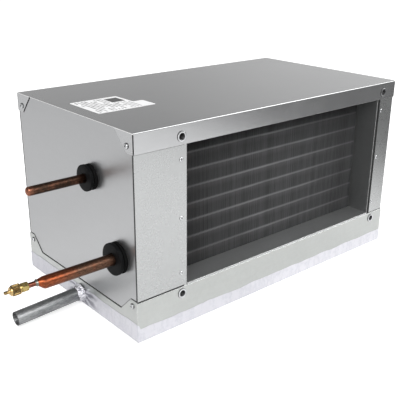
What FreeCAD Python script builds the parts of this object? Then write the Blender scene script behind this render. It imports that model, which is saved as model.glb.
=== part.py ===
import FreeCAD
import Part
import Sketcher
import math
import os
import re

# A direct-expansion cooling coil for a rectangular air duct.
# Origin: on the underside, below the centre of the duct mouth. +X to the right as seen from the
# air inlet, +Y along the air flow, +Z up. Millimetres.

# Driving dimensions: alias, value and what it measures
SIZES = [
    ("duct_width", 400, "inside width of the duct mouth"),
    ("duct_height", 200, "inside height of the duct mouth"),
    ("duct_base", 59, "underside to the duct's floor line"),
    ("bolt_offset", 10, "duct line to the flange bolts"),
    ("casing_depth", 296, "casing length along the air flow"),
    ("chamber_width", 84, "closed chamber on the connection side"),
    ("blind_width", 40, "closed space on the blind side"),
    ("roof_space", 26, "duct's top line to the lid"),
    ("gauge", 1.0, "casing sheet thickness"),
    ("bend_radius", 1.6, "outer radius of the lid's and tray's folds"),
    ("lid_overlap", 1.0, "lid flange below the duct's top line"),
    ("tray_step", 0.5, "tray wall below the duct's floor line"),
    ("corner_gap", 0.4, "open gap between a folded wall and the next tab"),
    ("side_wall", 31.5, "height of the tray's low side walls"),
    ("tab_reach", 1.0, "tray tab above the duct's floor line"),
    ("tab_tip", 13, "width of a corner tab at its free end"),
    ("tab_root", 37, "width of a corner tab at its root"),
    ("skirt_level", 28, "underside to the lower edge of covers and panels"),
    ("cover_lip", 15, "inward lip of the side covers"),
    ("sheet_flange", 20, "outward flange of the coil's end plates"),
    ("flange_relief", 3, "end plate flange short of the duct lines"),
    ("panel_reveal", 0.5, "open joint between end plate and panel"),
    ("duct_lip", 20, "folded lip of the floor and ceiling plates"),
    ("drip_lip", 8, "drip edges of the middle floor plate"),
    ("floor_rise", 2.0, "duct floor plate's top above the floor line"),
    ("ceiling_rise", 0.5, "ceiling plate's underside above the top line"),
    ("seat_gap", 0.3, "clearance between parts that lie against each other"),
    ("foil_gauge", 0.3, "foil skin thickness"),
    ("foam_thickness", 5, "foil-faced foam pad below the tray"),
    ("foil_height", 20, "foil's upper edge on front, rear and blind side"),
    ("foil_left_height", 28, "foil's upper edge on the connection side"),
    ("drain_radius", 10, "drain pipe outside radius"),
    ("drain_wall", 1.5, "drain pipe wall"),
    ("drain_reach", 104, "drain pipe beyond the casing"),
    ("drain_inset", 4, "drain pipe inside the tray"),
    ("drain_place", -6, "drain pipe along the air flow"),
    ("drain_fall", 2.9, "drain pipe slope in degrees"),
    ("drain_clearance", 0.2, "tray wall hole round the drain pipe"),
    ("collar_length", 8, "foil collar along the drain pipe"),
    ("collar_swell", 3.2, "foil collar thickness"),
    ("tube_radius", 4.8, "coil tube outside radius"),
    ("tube_pitch", 25, "tube spacing up the coil"),
    ("row_pitch", 22, "row spacing along the air flow"),
    ("row_count", 3, "tube rows"),
    ("fin_setback", 41, "inlet face to the fins"),
    ("fin_pitch", 2.5, "fin spacing"),
    ("fin_gauge", 0.2, "fin thickness"),
    ("tube_stub", 5, "tube end beyond the end plate"),
    ("tube_sides", 8, "flats used to draw a coil tube"),
    ("suction_radius", 8, "suction pipe outside radius"),
    ("suction_reach", 107, "suction pipe beyond the casing"),
    ("suction_setback", 40.5, "inlet face to the suction pipe's axis"),
    ("suction_level", 110.3, "suction pipe height"),
    ("header_radius", 9.5, "suction header outside radius"),
    ("header_standoff", 44, "end plate to the header's axis"),
    ("header_margin", 12, "header beyond its outermost stubs"),
    ("taper_length", 10.5, "crimped end of the suction pipe"),
    ("taper_radius", 4, "radius where the crimp closes on the valve stub"),
    ("stub_radius", 3.2, "valve stub outside radius"),
    ("stub_length", 10.6, "valve stub between crimp and valve"),
    ("stub_rise", 2.5, "valve axis above the suction pipe's axis"),
    ("liquid_radius", 6, "liquid pipe outside radius"),
    ("liquid_reach", 92, "liquid pipe beyond the casing"),
    ("liquid_setback", 99.5, "inlet face to the liquid pipe's axis"),
    ("liquid_level", 205.5, "liquid pipe height"),
    ("end_chamfer", 3, "rounding of the liquid pipe's closed end"),
    ("distributor_radius", 9, "distributor body radius"),
    ("distributor_length", 16, "distributor along the pipe"),
    ("distributor_standoff", 45, "end plate to the distributor's outlet face"),
    ("capillary_radius", 1.6, "capillary outside radius"),
    ("capillary_spread", 4.4, "capillary holes from the distributor's axis"),
    ("capillary_step", 3.8, "spacing of the capillaries' upright runs"),
    ("grommet_lip", 11, "grommet outside the cover"),
    ("grommet_back", 4, "grommet's inner lip behind the cover"),
    ("suction_grommet_radius", 22, "suction grommet radius"),
    ("liquid_grommet_radius", 18, "liquid grommet radius"),
    ("grommet_margin", 5, "grommet lip beyond its neck"),
    ("rubber_clearance", 0.08, "pipe in its grommet"),
    ("end_margin", 1.0, "pipe's sized free end short of its grommet or collar"),
    ("size_relief", 0.2, "pipe's radius smaller behind its sized free end"),
    ("valve_flats", 11, "valve hexagon across flats"),
    ("valve_hex_length", 8, "valve hexagon along the axis"),
    ("spigot_radius", 5.4, "threaded spigot below the cap"),
    ("spigot_length", 10.5, "threaded spigot along the axis"),
    ("core_recess", 4, "depth of the recess round the core pin"),
    ("core_recess_radius", 2.6, "recess round the core pin"),
    ("pin_radius", 0.8, "core pin radius"),
    ("pin_length", 10, "core pin length"),
    ("pin_stand", 0.7, "core pin beyond the spigot"),
    ("cap_radius", 6.8, "cap over the knurl"),
    ("cap_length", 12.5, "cap along the axis"),
    ("cap_standoff", 2.0, "cap's rim to the hexagon"),
    ("thread_clearance", 0.05, "cap bore round the spigot"),
    ("key_radius", 2.2, "core key radius"),
    ("key_length", 6.8, "core key beyond the cap"),
    ("gasket_thickness", 1.2, "seal in the cap"),
    ("gasket_hole", 2.9, "hole in the seal"),
    ("gasket_gap", 0.1, "seal to its neighbours"),
    ("eliminator_setback", 38, "outlet face to the droplet eliminator"),
    ("eliminator_depth", 90, "droplet eliminator along the air flow"),
    ("eliminator_sheet", 1.0, "eliminator frame thickness"),
    ("rail_width", 12, "eliminator rails front and rear"),
    ("blade_pitch", 25, "eliminator blade spacing"),
    ("blade_thickness", 1.2, "eliminator blade thickness"),
    ("blade_wave", 11, "sideways throw of a blade"),
    ("bolt_bore", 3.4, "M8 thread core radius of a rivet nut"),
    ("nut_flange_radius", 7, "rivet nut flange radius"),
    ("nut_flange_rise", 1.0, "rivet nut flange thickness"),
    ("nut_flats", 11, "rivet nut body across flats"),
    ("nut_length", 13, "rivet nut body behind the flange"),
    ("hex_clearance", 0.05, "sheet hole round a rivet nut"),
    ("rivet_radius", 3.2, "blind rivet head radius"),
    ("rivet_rise", 1.1, "blind rivet head height"),
    ("rivet_shank", 1.6, "blind rivet shank radius"),
    ("rivet_grip", 5, "blind rivet behind its head"),
    ("rivet_pitch", 79.5, "blind rivet spacing"),
    ("screw_radius", 4, "cover screw head radius"),
    ("screw_rise", 2.2, "cover screw head height"),
    ("screw_shank", 1.8, "cover screw shank radius"),
    ("screw_grip", 9, "cover screw behind its head"),
    ("lid_screw_drop", 18, "lid's top to its screws"),
    ("lid_screw_inset", 13, "casing's face to the lid screws"),
    ("tray_screw_drop", 9, "tray tab's top to its screws"),
    ("tray_screw_inset", 11.5, "casing's face to the tray screws"),
    ("head_sides", 8, "flats used to draw a small fastener head"),
    ("label_length", 76, "label along the lid"),
    ("label_depth", 76, "label across the lid"),
    ("label_inset", 22, "label from the lid's left edge"),
    ("label_place", -4, "label's centre along the air flow"),
    ("label_tail", 16, "narrow end of the label"),
    ("label_tail_depth", 32, "width of the label's narrow end"),
    ("label_gauge", 0.2, "label thickness"),
]

# Places and levels that follow from the driving dimensions
DERIVED = {
    "half_width": "duct_width / 2",
    "half_depth": "casing_depth / 2",
    "left_face": "-half_width - chamber_width",
    "right_face": "half_width + blind_width",
    "casing_width": "duct_width + chamber_width + blind_width",
    "duct_top": "duct_base + duct_height",
    "duct_middle": "duct_base + duct_height / 2",
    "roof": "duct_top + roof_space",
    "under_lid": "roof - gauge",
    "lid_edge": "duct_top - lid_overlap",
    "tray_under": "foam_thickness",
    "tray_floor": "tray_under + gauge",
    "tray_edge": "duct_base - tray_step",
    "side_top": "tray_under + side_wall",
    "tab_top": "duct_base + tab_reach",
    "inner_face": "half_depth - gauge",
    "tab_start": "inner_face - corner_gap",
    "panel_face": "half_depth - gauge",
    "panel_back": "half_depth - 2 * gauge",
    "flange_back": "half_depth - 3 * gauge",
    "panel_edge": "half_width + gauge + panel_reveal",
    "cover_face": "left_face + gauge",
    "cover_height": "under_lid - skirt_level",
    "bolt_side": "half_width + bolt_offset",
    "bolt_low": "duct_base - bolt_offset",
    "bolt_high": "duct_top + bolt_offset",
    "floor_top": "duct_base + floor_rise",
    "ceiling": "duct_top + ceiling_rise",
    "fin_front": "fin_setback - half_depth",
    "fin_depth": "row_count * row_pitch",
    "fin_rear": "fin_front + fin_depth",
    "first_row": "fin_front + row_pitch / 2",
    "last_row": "fin_rear - row_pitch / 2",
    "first_level": "duct_base + tube_pitch / 2",
    "tube_end": "half_width + gauge + tube_stub",
    "header_line": "-half_width - gauge - header_standoff",
    "suction_place": "suction_setback - half_depth",
    "liquid_place": "liquid_setback - half_depth",
    "suction_end": "left_face - suction_reach",
    "crimp_end": "suction_end - taper_length",
    "valve_level": "suction_level + stub_rise",
    "hex_start": "crimp_end - stub_length",
    "hex_end": "hex_start - valve_hex_length",
    "spigot_end": "hex_end - spigot_length",
    "cap_rim": "hex_end - cap_standoff",
    "cap_seat": "spigot_end - gasket_thickness - 2 * gasket_gap",
    "liquid_end": "left_face - liquid_reach",
    "distributor_face": "-half_width - gauge - distributor_standoff",
    "distributor_inlet": "distributor_face - distributor_length",
    "drain_level": "tray_floor + seat_gap + drain_radius + drain_clearance",
    "drain_seat": "drain_radius - size_relief",
    "liquid_seat": "liquid_radius - size_relief",
    "suction_seat": "suction_radius",
    "collar_near": "foil_gauge + seat_gap + (drain_radius + collar_swell) * tan(drain_fall * 1 deg)",
    "collar_far": "collar_near + collar_length",
    "header_low": "first_level + tube_pitch - header_margin",
    "header_high": "duct_top - tube_pitch / 2 + header_margin",
    "header_entry": "header_line - header_radius / 2",
    "eliminator_rear": "half_depth - eliminator_setback",
    "eliminator_front": "eliminator_rear - eliminator_depth",
    "eliminator_side": "half_width - seat_gap",
    "eliminator_base": "floor_top + seat_gap",
    "eliminator_top": "ceiling - seat_gap",
    "lid_screw_level": "roof - lid_screw_drop",
    "tray_screw_level": "tab_top - tray_screw_drop",
    "label_left": "left_face + label_inset",
}

ALIASES = {alias for alias, value, meaning in SIZES}

doc = FreeCAD.newDocument("duct_cooling_coil")
sheet = doc.addObject("Spreadsheet::Sheet", "Sizes")
for row, (alias, value, meaning) in enumerate(SIZES, start=1):
    sheet.set(f"A{row}", meaning)
    sheet.set(f"B{row}", str(value))
    sheet.setAlias(f"B{row}", alias)
doc.recompute()

X = FreeCAD.Vector(1, 0, 0)
Y = FreeCAD.Vector(0, 1, 0)
Z = FreeCAD.Vector(0, 0, 1)


def bound(text):
    """The words of a formula, written out in terms of the sheet's cells."""
    def word(match):
        name = match.group()
        if name in ALIASES:
            return f"Sizes.{name}"
        if name in DERIVED:
            return f"({bound(DERIVED[name])})"
        return name
    return re.sub(r"[a-z][a-z_]*", word, text)


def number(text):
    """The present value of a formula."""
    return float(sheet.evalExpression(bound(text)))


def origin_feature(body, role):
    return next(item for item in body.Origin.OriginFeatures if item.Role == role)


def new_body(node, place=("0", "0", "0")):
    """An empty body whose own origin lies at the given place."""
    body = doc.addObject("PartDesign::Body", node)
    body.Label = node
    for axis, text in zip("xyz", place):
        body.setExpression(f"Placement.Base.{axis}", bound(text))
    return body


def new_sketch(body, role, offset):
    """A sketch on one of the body's own planes, moved along the plane's normal."""
    sketch = body.newObject("Sketcher::SketchObject", f"{body.Name}_outline")
    sketch.AttachmentSupport = [(origin_feature(body, role), "")]
    sketch.MapMode = "FlatFace"
    sketch.setExpression("AttachmentOffset.Base.z", bound(offset))
    return sketch


def add_outline(sketch, points):
    """A closed outline of straight lines whose corners are bound to the sheet."""
    values = [FreeCAD.Vector(number(across), number(up), 0) for across, up in points]
    first = sketch.GeometryCount
    count = len(points)
    for index in range(count):
        line = Part.LineSegment(values[index], values[(index + 1) % count])
        sketch.addGeometry(line)
    for index in range(count):
        following = first + (index + 1) % count
        sketch.addConstraint(Sketcher.Constraint("Coincident", first + index, 2, following, 1))
    for index, (across, up) in enumerate(points):
        corner = values[index]
        for kind, size, text in (("DistanceX", corner.x, across), ("DistanceY", corner.y, up)):
            limit = Sketcher.Constraint(kind, -1, 1, first + index, 1, size)
            sketch.setExpression(f"Constraints[{sketch.addConstraint(limit)}]", bound(text))


def add_circle(sketch, across, up, radius):
    """A circle whose centre and radius are bound to the sheet."""
    centre = FreeCAD.Vector(number(across), number(up), 0)
    edge = sketch.addGeometry(Part.Circle(centre, Z, number(radius)))
    for kind, size, text in (("DistanceX", centre.x, across), ("DistanceY", centre.y, up)):
        limit = Sketcher.Constraint(kind, -1, 1, edge, 3, size)
        sketch.setExpression(f"Constraints[{sketch.addConstraint(limit)}]", bound(text))
    limit = Sketcher.Constraint("Radius", edge, number(radius))
    sketch.setExpression(f"Constraints[{sketch.addConstraint(limit)}]", bound(radius))


def pad(body, role, start, length, outlines):
    """Material from start to start + length along the plane's row axis."""
    offset = f"-(({start}) + ({length}))" if role == "XZ_Plane" else start
    sketch = new_sketch(body, role, offset)
    for points in outlines:
        add_outline(sketch, points)
    feature = body.newObject("PartDesign::Pad", f"{body.Name}_pad")
    feature.Profile = sketch
    feature.setExpression("Length", bound(length))
    return feature


def pocket(body, role, start, length, outlines=(), circles=()):
    """A cut from start to start + length along the plane's row axis."""
    offset = f"-({start})" if role == "XZ_Plane" else f"({start}) + ({length})"
    sketch = new_sketch(body, role, offset)
    for points in outlines:
        add_outline(sketch, points)
    for across, up, radius in circles:
        add_circle(sketch, across, up, radius)
    feature = body.newObject("PartDesign::Pocket", f"{body.Name}_pocket")
    feature.Profile = sketch
    feature.setExpression("Length", bound(length))
    return feature


def ring_pad(body, start, length, outline, bore):
    """A pad along X with a round bore on the body's own axis."""
    feature = pad(body, "YZ_Plane", start, length, [outline])
    add_circle(feature.Profile[0], "0", "0", bore)
    return feature


def turned(node, place, profile):
    """A body turned round its own X axis from (along, radius) corners."""
    body = new_body(node, place)
    sketch = new_sketch(body, "XZ_Plane", "0")
    add_outline(sketch, profile)
    feature = body.newObject("PartDesign::Revolution", f"{node}_turned")
    feature.Profile = sketch
    feature.ReferenceAxis = (sketch, ["H_Axis"])
    feature.Angle = 360
    return body


def fold_edges(body, places):
    """Rounds the long fold edges of a bent sheet: those along X through the given (y, z) places."""
    doc.recompute()
    base = body.Tip
    names = []
    for index, edge in enumerate(base.Shape.Edges, start=1):
        box = edge.BoundBox
        if box.XLength < number("casing_width") / 2:
            continue
        for across, up in places:
            if abs(box.Center.y - number(across)) < 0.01 and abs(box.Center.z - number(up)) < 0.01:
                names.append(f"Edge{index}")
    feature = body.newObject("PartDesign::Fillet", f"{body.Name}_fold")
    feature.Base = (base, names)
    feature.setExpression("Radius", bound("bend_radius"))
    return feature


def solid_feature(node, shapes):
    """A node made of one or more solids, each built from the sheet's values."""
    feature = doc.addObject("Part::Feature", node)
    feature.Label = node
    feature.Shape = shapes[0] if len(shapes) == 1 else Part.makeCompound(shapes)
    feature.Placement = FreeCAD.Placement()
    return feature


def rectangle(low_across, low_up, high_across, high_up):
    return [
        (low_across, low_up),
        (high_across, low_up),
        (high_across, high_up),
        (low_across, high_up),
    ]


def regular_outline(radius, sides, across="0", up="0"):
    """Corners of a regular outline whose flats lie at the given radius, one of them upright."""
    corners = []
    for step in range(sides):
        angle = 180 / sides * (2 * step + 1)
        reach = f"({radius}) / cos({180 / sides} deg)"
        corners.append((f"{across} + {reach} * cos({angle} deg)", f"{up} + {reach} * sin({angle} deg)"))
    return corners


def nut_hole(across, up):
    return regular_outline("nut_flats / 2 + hex_clearance", 6, across, up)


def ring(axis, centre, radius, sides):
    """Corners of a regular outline round a centre whose flats lie at the given radius."""
    helper = Y if abs(axis.dot(Y)) < 0.9 else Z
    first = axis.cross(helper).normalize()
    second = axis.cross(first)
    reach = radius / math.cos(math.pi / sides)
    corners = []
    for step in range(sides):
        angle = 2 * math.pi * (step + 0.5) / sides
        corners.append(centre + first * (reach * math.cos(angle)) + second * (reach * math.sin(angle)))
    return corners


def flat_face(corners):
    return Part.Face(Part.makePolygon(corners + [corners[0]]))


def closed_solid(faces):
    """A solid from faces that meet edge to edge."""
    solid = Part.Solid(Part.makeShell(faces))
    if solid.Volume < 0:
        solid.reverse()
    return solid


def slide_onto(corners, run, place, normal):
    """Corners moved along a run onto the plane through a place."""
    return [corner + run * ((place - corner).dot(normal) / run.dot(normal)) for corner in corners]


def mitred_tube(route, radius, sides, end_normal=None):
    """A solid of flat-sided tube along straight runs, mitred where two runs meet.

    Its two ends are square to their runs, or lie on planes square to end_normal."""
    run = (route[1] - route[0]).normalize()
    corners = ring(run, route[0], radius, sides)
    sections = [slide_onto(corners, run, route[0], end_normal or run)]
    for index in range(1, len(route)):
        if index + 1 < len(route):
            following = (route[index + 1] - route[index]).normalize()
            normal = (run + following).normalize()
        else:
            following = run
            normal = end_normal or run
        sections.append(slide_onto(sections[-1], run, route[index], normal))
        run = following
    faces = [flat_face(sections[0]), flat_face(sections[-1])]
    for near, far in zip(sections, sections[1:]):
        for step in range(sides):
            following = (step + 1) % sides
            faces.append(flat_face([near[step], near[following], far[following], far[step]]))
    return closed_solid(faces)


def half_turn(first, last, outward, steps):
    """Places on a half circle from first to last that bulges outward."""
    middle = (first + last) * 0.5
    reach = (first - middle).Length
    places = []
    for step in range(steps + 1):
        angle = math.pi * step / steps
        places.append(middle + (first - middle) * math.cos(angle) + outward * (reach * math.sin(angle)))
    return places


# Casing sheets

def add_corner_tabs(body, start):
    """The lid's two slanted tabs on one side."""
    front = [
        ("-tab_start", "lid_edge"),
        ("-tab_start + tab_tip", "lid_edge"),
        ("-tab_start + tab_root", "under_lid"),
        ("-tab_start", "under_lid"),
    ]
    rear = [(f"-({across})", up) for across, up in front]
    pad(body, "YZ_Plane", start, "gauge", [front, rear])


def make_top_cover():
    body = new_body("top_cover")
    section = [
        ("-half_depth", "lid_edge"),
        ("-half_depth", "roof"),
        ("half_depth", "roof"),
        ("half_depth", "lid_edge"),
        ("inner_face", "lid_edge"),
        ("inner_face", "under_lid"),
        ("-inner_face", "under_lid"),
        ("-inner_face", "lid_edge"),
    ]
    pad(body, "YZ_Plane", "left_face", "casing_width", [section])
    fold_edges(body, [("-half_depth", "roof"), ("half_depth", "roof")])
    add_corner_tabs(body, "left_face")
    add_corner_tabs(body, "right_face - gauge")
    holes = [nut_hole("-bolt_side", "bolt_high"), nut_hole("bolt_side", "bolt_high")]
    pocket(body, "XZ_Plane", "-half_depth", "casing_depth", holes)
    return body


def add_tray_side(body, start):
    """One of the tray's side walls with its two raised corner tabs."""
    half = [
        ("inner_face", "tray_floor"),
        ("inner_face", "side_top"),
        ("tab_start", "side_top"),
        ("tab_start", "tab_top"),
        ("tab_start - tab_tip", "tab_top"),
        ("tab_start - tab_root", "side_top"),
    ]
    other = [(f"-({across})", up) for across, up in reversed(half)]
    pad(body, "YZ_Plane", start, "gauge", [half + other])


def make_drip_tray():
    body = new_body("drip_tray")
    section = [
        ("-half_depth", "tray_edge"),
        ("-half_depth", "tray_under"),
        ("half_depth", "tray_under"),
        ("half_depth", "tray_edge"),
        ("inner_face", "tray_edge"),
        ("inner_face", "tray_floor"),
        ("-inner_face", "tray_floor"),
        ("-inner_face", "tray_edge"),
    ]
    pad(body, "YZ_Plane", "left_face", "casing_width", [section])
    fold_edges(body, [("-half_depth", "tray_under"), ("half_depth", "tray_under")])
    add_tray_side(body, "left_face")
    add_tray_side(body, "right_face - gauge")
    holes = [nut_hole("-bolt_side", "bolt_low"), nut_hole("bolt_side", "bolt_low")]
    pocket(body, "XZ_Plane", "-half_depth", "casing_depth", holes)
    spout = ("drain_place", "drain_level", "drain_radius + drain_clearance")
    pocket(body, "YZ_Plane", "left_face", "gauge", circles=[spout])
    return body


def make_side_cover(node, side):
    """A side sheet with lips behind the panels. side is -1 on the connection side."""
    body = new_body(node)
    face = "left_face + gauge" if side < 0 else "right_face - gauge"
    inward = "+" if side < 0 else "-"
    section = [
        (face, "-panel_back"),
        (face, "panel_back"),
        (f"{face} {inward} (gauge + cover_lip)", "panel_back"),
        (f"{face} {inward} (gauge + cover_lip)", "flange_back"),
        (f"{face} {inward} gauge", "flange_back"),
        (f"{face} {inward} gauge", "-flange_back"),
        (f"{face} {inward} (gauge + cover_lip)", "-flange_back"),
        (f"{face} {inward} (gauge + cover_lip)", "-panel_back"),
    ]
    pad(body, "XY_Plane", "skirt_level", "cover_height", [section])
    if side < 0:
        holes = [
            (f"{line}_place", f"{line}_level", f"{line}_grommet_radius - grommet_margin")
            for line in ("suction", "liquid")
        ]
        pocket(body, "YZ_Plane", "cover_face", "gauge", circles=holes)
    return body


def make_panel(node, side, end):
    """A sheet beside the duct mouth. side is -1 left or 1 right, end is -1 inlet or 1 outlet."""
    body = new_body(node)
    outer = "left_face + gauge" if side < 0 else "right_face - gauge"
    inner = "-panel_edge" if side < 0 else "panel_edge"
    start = "-panel_face" if end < 0 else "panel_back"
    pad(body, "XZ_Plane", start, "gauge", [rectangle(outer, "skirt_level", inner, "under_lid")])
    bolt = "-bolt_side" if side < 0 else "bolt_side"
    pocket(body, "XZ_Plane", start, "gauge", [nut_hole(bolt, "bolt_low"), nut_hole(bolt, "bolt_high")])
    return body


def make_tube_sheet(node, side):
    """An end plate of the coil, which is also the duct's side wall, with two outward flanges."""
    body = new_body(node)
    start = "-half_width - gauge" if side < 0 else "half_width"
    wall = rectangle("-panel_back", "skirt_level", "panel_back", "under_lid")
    pad(body, "YZ_Plane", start, "gauge", [wall])
    near = f"{side} * (half_width + gauge)"
    far = f"{side} * (half_width + gauge + sheet_flange)"
    flanges = [
        rectangle(near, "-panel_back", far, "-flange_back"),
        rectangle(near, "flange_back", far, "panel_back"),
    ]
    base = "duct_base + flange_relief"
    pad(body, "XY_Plane", base, "duct_height - 2 * flange_relief", flanges)
    return body


def make_floor_plate(node, mouth, inner):
    """A piece of duct floor from the casing's mouth, where it is folded down, to an inner edge."""
    body = new_body(node)
    fold = f"{mouth} * panel_back"
    edge = f"{mouth} * panel_face"
    section = [
        (edge, "floor_top - duct_lip"),
        (edge, "floor_top"),
        (inner, "floor_top"),
        (inner, "floor_top - gauge"),
        (fold, "floor_top - gauge"),
        (fold, "floor_top - duct_lip"),
    ]
    pad(body, "YZ_Plane", "-half_width", "duct_width", [section])
    return body


def make_middle_floor():
    """The duct floor between coil and eliminator, with a drip edge folded down on both sides."""
    body = new_body("middle_floor_plate")
    front = "fin_rear + seat_gap"
    rear = "eliminator_front + rail_width"
    section = [
        (front, "floor_top - drip_lip"),
        (front, "floor_top"),
        (rear, "floor_top"),
        (rear, "floor_top - drip_lip"),
        (f"{rear} - gauge", "floor_top - drip_lip"),
        (f"{rear} - gauge", "floor_top - gauge"),
        (f"{front} + gauge", "floor_top - gauge"),
        (f"{front} + gauge", "floor_top - drip_lip"),
    ]
    pad(body, "YZ_Plane", "-half_width", "duct_width", [section])
    return body


def make_ceiling():
    body = new_body("duct_ceiling_plate")
    section = [
        ("-panel_face", "ceiling + duct_lip"),
        ("-panel_face", "ceiling"),
        ("panel_face", "ceiling"),
        ("panel_face", "ceiling + duct_lip"),
        ("panel_back", "ceiling + duct_lip"),
        ("panel_back", "ceiling + gauge"),
        ("-panel_back", "ceiling + gauge"),
        ("-panel_back", "ceiling + duct_lip"),
    ]
    pad(body, "YZ_Plane", "-half_width", "duct_width", [section])
    return body


# Tray insulation and drain

COLLAR_SIDES = 14


def make_tray_insulation():
    body = new_body("tray_insulation")
    pad_outline = rectangle("left_face", "-half_depth", "right_face", "half_depth")
    pad(body, "XY_Plane", "0", "foam_thickness", [pad_outline])
    return body


def make_foil_wrap():
    """A skin of foil round the pad and the lower edge of the tray's walls, higher on the left."""
    body = new_body("foil_wrap")
    outside = rectangle(
        "left_face - foil_gauge", "-half_depth - foil_gauge",
        "right_face + foil_gauge", "half_depth + foil_gauge",
    )
    inside = rectangle("left_face", "-half_depth", "right_face", "half_depth")
    pad(body, "XY_Plane", "seat_gap", "foil_height - seat_gap", [outside, inside])
    left_wall = rectangle("-half_depth", "foil_height", "half_depth", "foil_left_height")
    pad(body, "YZ_Plane", "left_face - foil_gauge", "foil_gauge", [left_wall])
    spout = ("drain_place", "drain_level", "drain_radius + drain_clearance")
    pocket(body, "YZ_Plane", "left_face - foil_gauge", "foil_gauge", circles=[spout])
    return body


def slope_with_drain(body):
    """Turns a body about the drain pipe's root so that it falls away from the casing."""
    body.Placement.Rotation = FreeCAD.Rotation(Y, -number("drain_fall"))
    return body


def make_drain_pipe():
    """Pipe from inside the tray, sized for a hose from its free end up to the collar."""
    place = ("left_face", "drain_place", "drain_level")
    profile = [
        ("-drain_reach", "drain_radius - drain_wall"),
        ("-drain_reach", "drain_radius"),
        ("-collar_far - end_margin", "drain_radius"),
        ("-collar_far - end_margin", "drain_seat"),
        ("drain_inset", "drain_seat"),
        ("drain_inset", "drain_radius - drain_wall"),
    ]
    return slope_with_drain(turned("drain_pipe", place, profile))


def make_drain_collar():
    """Foil folded round the root of the drain pipe, in flats."""
    body = new_body("drain_collar", ("left_face", "drain_place", "drain_level"))
    bore = regular_outline("drain_seat + drain_clearance", COLLAR_SIDES)
    outside = regular_outline("drain_radius + drain_clearance + collar_swell", COLLAR_SIDES)
    pad(body, "YZ_Plane", "-collar_far", "collar_length", [outside, bore])
    return slope_with_drain(body)


# Finned coil

ROW_COUNT = int(number("row_count"))
LEVEL_COUNT = int(number("duct_height / tube_pitch"))
BEND_STEPS = 4
CAPILLARY_SIDES = 6


def row_place(row):
    """A tube row along the air flow; row 0 meets the air first."""
    return number("first_row") + row * number("row_pitch")


def level_place(level):
    """A tube's height; level 0 is the lowest."""
    return number("first_level") + level * number("tube_pitch")


def coil_tube(route, end_normal=None):
    return mitred_tube(route, number("tube_radius"), int(number("tube_sides")), end_normal)


def make_fin_pack():
    """Plain fins, expanded onto the tubes, from end plate to end plate."""
    pitch = number("fin_pitch")
    count = int(number("duct_width") / pitch)
    fins = []
    for index in range(count):
        middle = (index - (count - 1) / 2) * pitch
        corner = FreeCAD.Vector(middle - number("fin_gauge") / 2, number("fin_front"), number("duct_base"))
        fins.append(Part.makeBox(number("fin_gauge"), number("fin_depth"), number("duct_height"), corner))
    return solid_feature("fin_pack", fins)


def make_hairpins():
    """Tubes in pairs, each pair joined by a bend on the blind side."""
    tubes = []
    for row in range(ROW_COUNT):
        for level in range(0, LEVEL_COUNT - 1, 2):
            ends = []
            for height in (level_place(level), level_place(level + 1)):
                ends.append(FreeCAD.Vector(number("tube_end"), row_place(row), height))
            low = FreeCAD.Vector(-ends[0].x, ends[0].y, ends[0].z)
            high = FreeCAD.Vector(-ends[1].x, ends[1].y, ends[1].z)
            tubes.append(coil_tube([low] + half_turn(ends[0], ends[1], X, BEND_STEPS) + [high]))
    return solid_feature("hairpin_tubes", tubes)


def make_return_bends():
    """Bends on the connection side that lead each circuit from row to row."""
    bends = []
    for level in range(0, LEVEL_COUNT - 1, 2):
        for row in range(ROW_COUNT - 1):
            height = level_place(level + (ROW_COUNT - 1 - row) % 2)
            near = FreeCAD.Vector(-number("tube_end"), row_place(row), height)
            far = FreeCAD.Vector(-number("tube_end"), row_place(row + 1), height)
            bends.append(coil_tube(half_turn(near, far, -X, BEND_STEPS), X))
    return solid_feature("return_bends", bends)


def outlet_levels():
    """Heights where the circuits leave the first row."""
    return [level_place(level + (ROW_COUNT % 2)) for level in range(0, LEVEL_COUNT - 1, 2)]


def inlet_levels():
    """Heights where the circuits enter the last row."""
    return [level_place(level) for level in range(0, LEVEL_COUNT - 1, 2)]


def make_header_stubs():
    """Short tubes from the first row to the suction header."""
    stubs = []
    header = FreeCAD.Vector(number("header_line"), number("suction_place"), 0)
    for height in outlet_levels():
        root = FreeCAD.Vector(-number("tube_end"), row_place(0), height)
        elbow = FreeCAD.Vector((root.x * 2 + header.x) / 3, root.y, height)
        mouth = FreeCAD.Vector(header.x, header.y, height)
        inside = (elbow - mouth).normalize() * number("header_radius / 2")
        stubs.append(coil_tube([root, elbow, mouth + inside]))
    return solid_feature("header_stubs", stubs)


def make_suction_header():
    body = new_body("suction_header", ("header_line", "suction_place", "header_low"))
    feature = pad(body, "XY_Plane", "0", "header_high - header_low", [])
    add_circle(feature.Profile[0], "0", "0", "header_radius")
    return body


def make_distributor():
    """Brass body that splits the liquid between the circuits."""
    place = ("distributor_face", "liquid_place", "liquid_level")
    profile = [
        ("-distributor_length", "0"),
        ("-distributor_length", "distributor_radius"),
        ("0", "distributor_radius"),
        ("0", "0"),
    ]
    return turned("distributor", place, profile)


def make_capillaries():
    """One thin tube from the distributor to each circuit's first tube in the last row."""
    tubes = []
    levels = inlet_levels()
    for index, height in enumerate(levels):
        angle = 2 * math.pi * (index + 0.5) / len(levels)
        across = number("liquid_place") + number("capillary_spread") * math.sin(angle)
        up = number("liquid_level") - number("capillary_spread") * math.cos(angle)
        run = number("distributor_face") + number("capillary_step") * (index + 1)
        route = [
            FreeCAD.Vector(number("distributor_face"), across, up),
            FreeCAD.Vector(run, across, up),
            FreeCAD.Vector(run, number("last_row"), height),
            FreeCAD.Vector(-number("tube_end"), number("last_row"), height),
        ]
        tubes.append(mitred_tube(route, number("capillary_radius"), CAPILLARY_SIDES))
    return solid_feature("capillary_tubes", tubes)


# Connection pipes, grommets and service valve

CRIMP_SIDES = 12
NECK_SIDES = 16


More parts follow.
